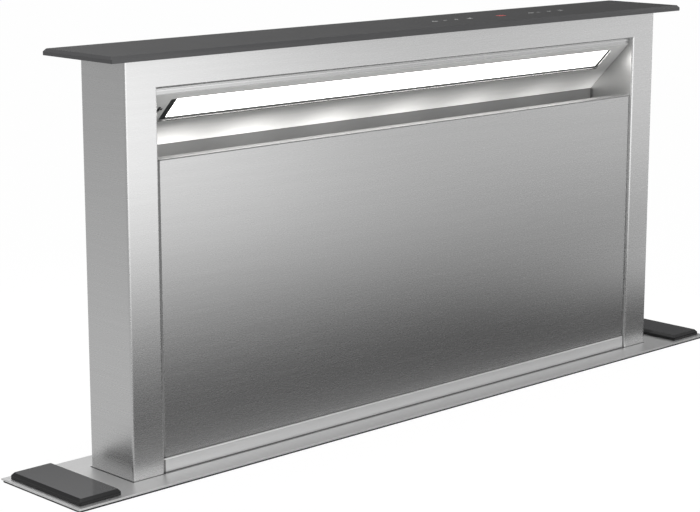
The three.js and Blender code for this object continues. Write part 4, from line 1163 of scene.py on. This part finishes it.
@dataclass
class Casing(Section):
    """The galvanised casing with its covers, brackets and fasteners, in millimetres."""

    corner_rivets: int = 7
    end_rivets: int = 5
    rivet_inset: float = 7.0
    rivet_line: float = 17.0
    rivet_foot: float = 190.0
    rivet_top: float = 45.0
    end_foot: float = 60.0
    cover_inset: float = 7.5
    bolt_heights: Span = (40.0, 72.0)
    bracket_foot: float = 3.0

    def dress(self) -> None:
        """Dresses the sheets and sets rivets, screws and bolts."""
        brackets = [f"floor_bracket_{side}" for side in SIDES]
        names = ["casing_shell", "service_cover", *brackets, "control_box", "control_box_cover"]
        self.dress_all(names, "sheet", "galvanised")
        self.rivets()
        self.cover_screws()
        self.bracket_bolts()

    def rivets(self) -> None:
        """Blind rivets up the four corners of the casing and through its ends into the guide rails."""
        low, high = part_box("casing_shell")
        wall_x, wall_y = high.x - self.rivet_inset * MM, high.y - self.rivet_inset * MM
        rail_y = sum(corner.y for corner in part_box("guide_rail_left")) / 2
        foot, top = low.z + self.rivet_foot * MM, high.z - self.rivet_top * MM
        stands = []
        for hand in HANDS:
            x = hand * (high.x - self.rivet_line * MM)
            for way in (1, -1):
                stands += column(x, way * wall_y, (foot, top), self.corner_rivets, AWAY * way)
            heights = (foot + self.end_foot * MM, top)
            stands += column(hand * wall_x, rail_y, heights, self.end_rivets, RIGHT * hand, UP)
        self.fasteners("casing_rivets", Head.RIVET, stands)

    def cover_screws(self) -> None:
        """Pan-head screws in the corners of the service cover and of the control box's cover."""
        inset = self.cover_inset * MM
        stands = []
        for name in ("service_cover", "control_box_cover"):
            low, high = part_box(name)
            for x in (low.x + inset, high.x - inset):
                stands += column(x, low.y, (low.z + inset, high.z - inset), 2, -AWAY)
        self.fasteners("cover_screws", Head.PAN_SCREW, stands)

    def bracket_bolts(self) -> None:
        """Two hexagon bolts through each floor bracket into the casing."""
        heights = tuple(z * MM for z in self.bolt_heights)
        stands = []
        for side in SIDES:
            low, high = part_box(f"floor_bracket_{side}")
            stands += column((low.x + high.x) / 2, high.y - self.bracket_foot * MM, heights, 2, -AWAY)
        self.fasteners("bracket_bolts", Head.HEX_BOLT, stands)


@dataclass
class LiftDrive(Section):
    """Carriages, belts, bearings, shaft and gear motor, in millimetres."""

    tooth_pitch: float = 5.0
    tooth_height: float = 1.2
    tooth_halves: Span = (1.35, 0.75)
    tooth_root: float = 0.2
    belt_thickness: float = 1.7
    clear_of_pulley: float = 20.0
    clamp_screw_inset: float = 7.0
    gearbox_reach: float = 22.0

    def dress(self) -> None:
        """Dresses the pieces of the drive and gives the belts their teeth."""
        dress_sheet(self.nodes["lift_gearmotor"], "lift_gearmotor_casting")
        dress_sheet(self.nodes["cross_shaft"], "cross_shaft_bar")
        for side in SIDES:
            for stem, slot in (
                ("carriage", "acetal"),
                ("belt_clamp", "cast_aluminium"),
                ("shaft_bearing", "brass"),
                ("guide_rail", "galvanised"),
                ("idler_bracket", "galvanised"),
                ("toothed_belt", "rubber"),
            ):
                self.dress_all([f"{stem}_{side}"], "finished", slot)
            self.belt_teeth(side)
            self.clamp_screws(side)
        self.gearbox_screws()

    def belt_teeth(self, side: str) -> None:
        """Teeth on the inner face of both straight runs of one belt.

        Args:
            side: left or right.
        """
        low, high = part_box(f"toothed_belt_{side}")
        half = (high.y - low.y) / 2
        reach = half - self.belt_thickness * MM
        foot = low.z + half + self.clear_of_pulley * MM
        top = high.z - half - self.clear_of_pulley * MM
        count = int((top - foot) / (self.tooth_pitch * MM))
        end = foot + (count - 1) * self.tooth_pitch * MM
        stands = []
        for hand in HANDS:
            y = (low.y + high.y) / 2 + hand * reach
            stands += column((low.x + high.x) / 2, y, (foot, end), count, AWAY * -hand)
        tooth = self.tooth(high.x - low.x)
        self.repeater.piece(f"belt_teeth_{side}", tooth, stands, "casing", "rubber", RUBBER)

    def tooth(self, width: float) -> bpy.types.Mesh:
        """One trapezoid tooth, its foot on the origin, its top along Z and its length along X.

        Args:
            width: the belt's width in metres.

        Returns:
            The new mesh.
        """
        wide, narrow = (half * MM for half in self.tooth_halves)
        root, top = -self.tooth_root * MM, self.tooth_height * MM
        profile = [(-wide, root), (wide, root), (narrow, top), (-narrow, top)]
        work = bmesh.new()
        near, far = ([work.verts.new((x, y, z)) for y, z in profile] for x in (-width / 2, width / 2))
        for i in range(4):
            j = (i + 1) % 4
            work.faces.new((near[i], near[j], far[j], far[i]))
        work.faces.new(near)
        work.faces.new(far)
        bmesh.ops.recalc_face_normals(work, faces=work.faces)
        return mesh_of(work, "belt_tooth")

    def clamp_screws(self, side: str) -> None:
        """Two screws that tie one belt clamp to its carriage.

        Args:
            side: left or right.
        """
        low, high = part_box(f"belt_clamp_{side}")
        inset = self.clamp_screw_inset * MM
        stands = column((low.x + high.x) / 2, low.y, (low.z + inset, high.z - inset), 2, -AWAY)
        self.fasteners(f"clamp_screws_{side}", Head.PAN_SCREW, stands, "tower")

    def gearbox_screws(self) -> None:
        """Four screws in the gearbox lid of the lift motor, round the shaft."""
        low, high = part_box("lift_gearmotor")
        z = sum(corner.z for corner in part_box("cross_shaft")) / 2
        reach = self.gearbox_reach * MM
        stands = []
        for hand in HANDS:
            stands += column((low.x + high.x) / 2 + hand * reach, low.y, (z - reach, z + reach), 2, -AWAY)
        self.fasteners("gearbox_screws", Head.PAN_SCREW, stands)


@dataclass
class Blower(Section):
    """Scroll housing, wheel, motor, adapter and collar, in millimetres."""

    axis_x: float = -20.0
    axis_z: float = 212.0
    plate_screws: int = 6
    screw_circle: float = 58.0
    duct_y: float = -127.3
    duct_z: float = 93.5
    duct_radius: float = 75.0
    clamp_inset: float = 5.0
    clamp_play: float = 0.15
    clamp_faces: int = 96
    housing_low: tuple[float, ...] = (-1.0, -9.0, 0.0)
    housing_high: tuple[float, ...] = (10.0, 6.0, 8.0)
    housing_corner: float = 2.2
    screw_place: tuple[float, ...] = (4.5, -9.0, 4.2)
    band_profile: Spans = ((0, 0), (0.8, 0.6), (0.8, 8.4), (0, 9), (-0.1, 4.5), (0, 0))
    screw_profile: Spans = ((0, 0), (3.4, 0), (3.4, 4), (2.6, 4.6), (0, 4.6))

    def dress(self) -> None:
        """Dresses the moulded pieces and the motor, and adds the motor's screws and the hose clamp."""
        for name, slot in (
            ("scroll_housing", "grey_plastic"),
            ("scroll_front", "grey_plastic"),
            ("inlet_bell", "black_plastic"),
            ("duct_adapter", "black_plastic"),
            ("duct_collar", "black_plastic"),
            ("fan_motor", "cast_aluminium"),
            ("cable_gland", "black_plastic"),
        ):
            self.dress_all([name], "moulding", slot)
        self.motor_screws()
        self.clamp_band()

    def motor_screws(self) -> None:
        """Screws round the motor, in the housing's back."""
        middle = Vector((self.axis_x * MM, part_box("scroll_housing")[0].y, self.axis_z * MM))
        stands = []
        for i in range(self.plate_screws):
            angle = 2 * math.pi * (i + 0.5) / self.plate_screws
            outwards = Vector((math.cos(angle), 0, math.sin(angle)))
            stands.append(Stand(middle + outwards * self.screw_circle * MM, -AWAY))
        self.fasteners("motor_plate_screws", Head.PAN_SCREW, stands)

    def clamp_band(self) -> None:
        """A worm-drive hose clamp round the collar's root: band, housing and screw."""
        radius = self.duct_radius + self.clamp_play
        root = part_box("duct_collar")[0].x + self.clamp_inset * MM
        axis = Vector((root, self.duct_y * MM, self.duct_z * MM))
        crown = axis + UP * radius * MM
        across, towards = (Matrix.Rotation(math.radians(90), 4, letter) for letter in "YX")
        band = [((radius + out) * MM, along * MM) for out, along in self.band_profile]
        screw = [(reach * MM, height * MM) for reach, height in self.screw_profile]
        low, high, head = (
            crown + Vector(place) * MM for place in (self.housing_low, self.housing_high, self.screw_place)
        )
        pieces = [
            new_piece(mesh.name, mesh, "casing", ZINC_SCREW)
            for mesh in (
                turned_mesh("clamp_band", band, self.clamp_faces, Matrix.Translation(axis) @ across),
                blocks_mesh("clamp_housing", [span_block(low, high)]),
                turned_mesh("clamp_screw", screw, 6, Matrix.Translation(head) @ towards),
            )
        ]
        ease = pieces[1].modifiers.new("pressed_corners", "BEVEL")
        ease.width = self.housing_corner * MM
        ease.segments = 3


# ---------------------------------------------------------------- stage, light and camera


@dataclass
class Stage:
    """Worktop slab, floor, reflection cove, lamps and world, in metres. None of it is part of the object."""

    slab_top: float = 0.7179
    slab_thickness: float = 0.034
    slab_y: Span = (-0.47, 0.115)
    slab_half: float = 0.62
    cutout_half_x: float = 0.431
    cutout_y: Span = (-0.0535, 0.0535)
    floor_half: float = 40.0
    floor_thickness: float = 0.02
    cove_hole_half: float = 0.4515
    cove_hole_y: Span = (-0.0605, 0.062)
    cove_lift: float = 0.0006
    cove_reach: float = 2.4
    cove_height: float = 3.6
    cove_gain: float = 2.0
    white: str = "ffffff"
    self_lit: float = 0.965
    room_light: float = 0.75
    lamps_aim: float = 0.8
    # Runs of the cove: in front, places to the right of right_from count as further out; the line between
    # front and back leans left of left_from; and behind on the right, the light falls off to the right and
    # rises towards the back.
    right_from: float = 0.3
    right_share: float = 0.35
    window_lean: float = 0.8
    left_from: float = -0.33
    left_lean: float = 1.5
    back_step: Span = (-0.25, 0.15)
    right_step: Span = (-0.3, 0.5)
    right_fall: float = 0.38
    right_level: float = 0.9
    # Name, place, size in metres and power in watts of each lamp.
    lamps: tuple[tuple[str, tuple[float, float, float], float, float], ...] = (
        ("overhead_lamp", (0.2, -0.3, 3.6), 3.4, 46),
        ("front_lamp", (-2.4, -3.0, 2.4), 2.6, 60),
        ("rear_lamp", (1.6, 3.2, 2.2), 2.4, 30),
    )
    # Grey levels of the cove: in front of the tower, by metres forward of its middle and then up the wall;
    # behind on the left, by metres to the left of its middle; and behind on the right, by metres up the wall.
    front_stops: Spans = (
        (0, 0.03), (0.1, 0.02), (0.2, 0.02), (0.33, 0.1), (0.5, 0.31),
        (0.9, 0.74), (1.4, 0.94), (1.9, 0.96), (2.85, 0.76), (3.2, 0.56),
    )  # fmt: skip
    left_stops: Spans = (
        (0, 0.58), (0.45, 0.6), (0.65, 0.6), (1.0, 0.55), (1.5, 0.49), (2.4, 0.4), (6.0, 0.6),
    )  # fmt: skip
    right_stops: Spans = (
        (0, 0.4), (0.4, 0.34), (0.6, 0.12), (0.78, 0.11), (0.95, 0.33), (1.2, 0.5), (2.0, 1.1), (3.6, 1.4),
    )  # fmt: skip

    # Patches of the cove in front: a dim one on the right, a bright window on the left, and a bright one
    # beside the rim on the right. Each has its gain and its bounding steps: along which run, and between
    # which places.
    front_patches: tuple[tuple[float, tuple[tuple[str, float, float], ...]], ...] = (
        (-0.38, (("y", -0.3, -0.44), ("y", -1.15, -0.7), ("x", 0.5, 0.9))),
        (0.8, (("leftward", 0.2, -0.4), ("y", -0.5, -1.3))),
        (2.2, (("y", -0.12, -0.21), ("y", -0.4, -0.28), ("x", 0.3, 0.7))),
    )

    def build(self) -> None:
        """Sets everything up."""
        self.world()
        white = self.white_surface()
        reach = self.floor_half
        floor = span_block((-reach, -reach, -self.floor_thickness), (reach, reach, 0))
        self.place("floor", blocks_mesh("floor", [floor]), white)
        self.slab(white)
        self.cove()
        for name, place, size, power in self.lamps:
            self.lamp(name, Vector(place), size, power)

    def seen_directly(self, nodes: Nodes) -> Socket:
        """A factor that is 1 for camera, glossy and transmission rays and 0 for all others."""
        path = nodes.add("ShaderNodeLightPath").outputs
        seen = nodes.calc("MAXIMUM", path["Is Camera Ray"], path["Is Glossy Ray"])
        return nodes.calc("MAXIMUM", seen, path["Is Transmission Ray"])

    def world(self) -> None:
        """A white room: seen as white, and a little dimmer as a light on matt surfaces."""
        room = bpy.data.worlds.new("white_room")
        bpy.context.scene.world = room
        room.use_nodes = True
        room.node_tree.nodes.clear()
        nodes = Nodes(room.node_tree)
        lit, seen = (
            nodes.out("ShaderNodeBackground", {"Color": linear(self.white), "Strength": strength})
            for strength in (self.room_light, 1.0)
        )
        both = nodes.out("ShaderNodeMixShader", {0: self.seen_directly(nodes), 1: lit, 2: seen})
        nodes.add("ShaderNodeOutputWorld", {"Surface": both})

    def white_surface(self) -> bpy.types.Material:
        """White laminate that keeps soft shadows: most of its white is its own, the rest reflected light."""
        made, nodes = empty_material("white_stage")
        matt = nodes.out("ShaderNodeBsdfDiffuse", {"Color": linear(self.white)})
        own = nodes.out("ShaderNodeEmission", {"Color": linear(self.white), "Strength": 1.0})
        share = nodes.product(self.seen_directly(nodes), self.self_lit)
        both = nodes.out("ShaderNodeMixShader", {0: share, 1: matt, 2: own})
        nodes.add("ShaderNodeOutputMaterial", {"Surface": both})
        return made

    def place(self, name: str, mesh: bpy.types.Mesh, material: bpy.types.Material) -> bpy.types.Object:
        """Adds one object of the stage."""
        mesh.materials.append(material)
        made = bpy.data.objects.new(name, mesh)
        bpy.context.scene.collection.objects.link(made)
        return made

    def slab(self, white: bpy.types.Material) -> None:
        """The worktop: a white slab with the cut-out that the casing hangs in, and pale edges."""
        half, hole = self.slab_half, self.cutout_half_x
        (front, back), (near, far) = self.slab_y, self.cutout_y
        low, high = self.slab_top - self.slab_thickness, self.slab_top
        bands = (
            (-half, half, front, near),
            (-half, half, far, back),
            (-half, -hole, near, far),
            (hole, half, near, far),
        )
        blocks = [span_block((x0, y0, low), (x1, y1, high)) for x0, x1, y0, y1 in bands]
        made = self.place("worktop", blocks_mesh("worktop", blocks), white)
        repaint(made, WORKTOP_EDGE, lambda face: face.normal.z < 0.5)

    def cove_material(self) -> bpy.types.Material:
        """Graded grey light: dark beside the rim in front and bright further out, grey behind on the left and
        darker low down behind on the right, where the glass looks. Its steps and patches were set so that the
        mirrored tones follow the photograph."""
        made, nodes = empty_material("graded_cove")
        axes = nodes.axes(nodes.place())
        x, y = axes["X"], axes["Y"]
        height = nodes.line(axes["Z"], 1.0, -self.slab_top)
        to_back = self.behind(nodes, x, y)
        level = nodes.mixed(to_back, self.front(nodes, x, y, height), self.back(nodes, x, y, height))
        glow = nodes.out("ShaderNodeEmission", {"Color": level, "Strength": self.cove_gain})
        nodes.add("ShaderNodeOutputMaterial", {"Surface": glow})
        return made

    def front(self, nodes: Nodes, x: Socket, y: Socket, height: Socket) -> Socket:
        """The cove in front: graded outwards, with its patches."""
        rightward = nodes.calc("MAXIMUM", x, self.right_from)
        beyond = nodes.line(rightward, self.right_share, -self.right_share * self.right_from)
        graded = self.graded(nodes, nodes.line(beyond, 1.0, nodes.line(y, -1.0, height)), self.front_stops)
        runs = {"x": x, "y": y, "leftward": nodes.line(y, self.window_lean, x)}
        boost = 1.0
        for gain, steps in self.front_patches:
            share = nodes.product(*(nodes.step(runs[run], low, high) for run, low, high in steps))
            boost = nodes.line(share, gain, boost)
        return nodes.scaled(graded, boost)

    def back(self, nodes: Nodes, x: Socket, y: Socket, height: Socket) -> Socket:
        """The cove behind: graded to the left on the left, and graded upwards on the right."""
        left = self.graded(nodes, nodes.line(x, -1.0, height), self.left_stops)
        fall = nodes.line(nodes.line(y, -1.0, x), -self.right_fall, self.right_level)
        right = nodes.scaled(self.graded(nodes, height, self.right_stops), fall)
        return nodes.mixed(nodes.step(x, *self.right_step), left, right)

    def behind(self, nodes: Nodes, x: Socket, y: Socket) -> Socket:
        """A factor that goes from 0 in front to 1 behind, along a slanted line on the left."""
        leftward = nodes.calc("MINIMUM", x, self.left_from)
        shifted = nodes.line(y, 1.0, self.left_lean * self.left_from)
        return nodes.step(nodes.line(leftward, -self.left_lean, shifted), *self.back_step)

    def graded(self, nodes: Nodes, run: Socket, stops: Spans) -> Socket:
        """Grey levels by metres along a run."""
        span = stops[-1][0]
        share = nodes.calc("DIVIDE", run, span)
        return nodes.ramp(share, [(metres / span, grey / self.cove_gain) for metres, grey in stops])

    def cove(self) -> None:
        """An apron level with the worktop and a wall round it, like a photographer's cards: only metal and
        glass reflect it, and neither the camera nor matt surfaces see it."""
        level, reach = self.slab_top + self.cove_lift, self.cove_reach
        work = bmesh.new()
        rings = []
        for half, (y0, y1), z in (
            (self.cove_hole_half, self.cove_hole_y, level),
            (reach, (-reach, reach), level),
            (reach, (-reach, reach), level + self.cove_height),
        ):
            corners = ((-half, y0, z), (half, y0, z), (half, y1, z), (-half, y1, z))
            rings.append([work.verts.new(corner) for corner in corners])
        for low, high in zip(rings, rings[1:]):
            for i in range(4):
                j = (i + 1) % 4
                work.faces.new((low[i], low[j], high[j], high[i]))
        made = self.place("reflection_cove", mesh_of(work, "reflection_cove"), self.cove_material())
        for ray in ("camera", "diffuse", "transmission", "shadow"):
            setattr(made, f"visible_{ray}", False)

    def lamp(self, name: str, place: Vector, size: float, power: float) -> None:
        """One square soft lamp that looks at the tower and stays out of reflections."""
        data = bpy.data.lights.new(name, "AREA")
        data.shape = "SQUARE"
        data.size = size
        data.energy = power
        made = bpy.data.objects.new(name, data)
        bpy.context.scene.collection.objects.link(made)
        made.location = place
        made.rotation_mode = "QUATERNION"
        made.rotation_quaternion = (UP * self.lamps_aim - place).to_track_quat("-Z", "Y")
        made.visible_glossy = False
        made.visible_camera = False


@dataclass
class PhotoCamera:
    """The photograph's camera, worked out from the corners of tower, panel, lid and rim."""

    place: tuple[float, float, float] = (-1.4062, -1.3975, 1.28667)
    yaw: float = 0.7632
    pitch: float = 0.2063
    focal_pixels: float = 1975.8
    frame_width: int = 700
    sensor: float = 36.0

    def build(self) -> None:
        """Makes it the scene's camera."""
        data = bpy.data.cameras.new("photo_camera")
        data.sensor_fit = "HORIZONTAL"
        data.sensor_width = self.sensor
        data.lens = self.focal_pixels / self.frame_width * self.sensor
        data.clip_start = 0.05
        data.clip_end = 200
        made = bpy.data.objects.new("photo_camera", data)
        bpy.context.scene.collection.objects.link(made)
        made.location = self.place
        made.rotation_euler = (math.pi / 2 - self.pitch, 0, -self.yaw)
        bpy.context.scene.camera = made


# ---------------------------------------------------------------- the scene


def main() -> None:
    """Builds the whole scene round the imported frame."""
    logging.basicConfig(level=logging.INFO, format="%(name)s: %(message)s")
    for leftover in list(bpy.data.objects):
        bpy.data.objects.remove(leftover)
    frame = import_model()
    bpy.context.scene.view_settings.view_transform = "Standard"
    nodes = frame["nodes"]
    for name, node_object in nodes.items():
        node_object.data.materials.clear()
        node_object.data.materials.append(finish_of(name).material())
    PhotoCamera().build()
    repeater = Repeater()
    Tower(nodes, repeater).dress()
    Lamp().dress()
    Seams().dress()
    Filters(nodes, repeater).dress()
    GlassTops(nodes).dress()
    TouchControl().dress()
    Casing(nodes, repeater).dress()
    LiftDrive(nodes, repeater).dress()
    Blower(nodes, repeater).dress()
    Stage().build()


if __name__ == "__main__":
    main()
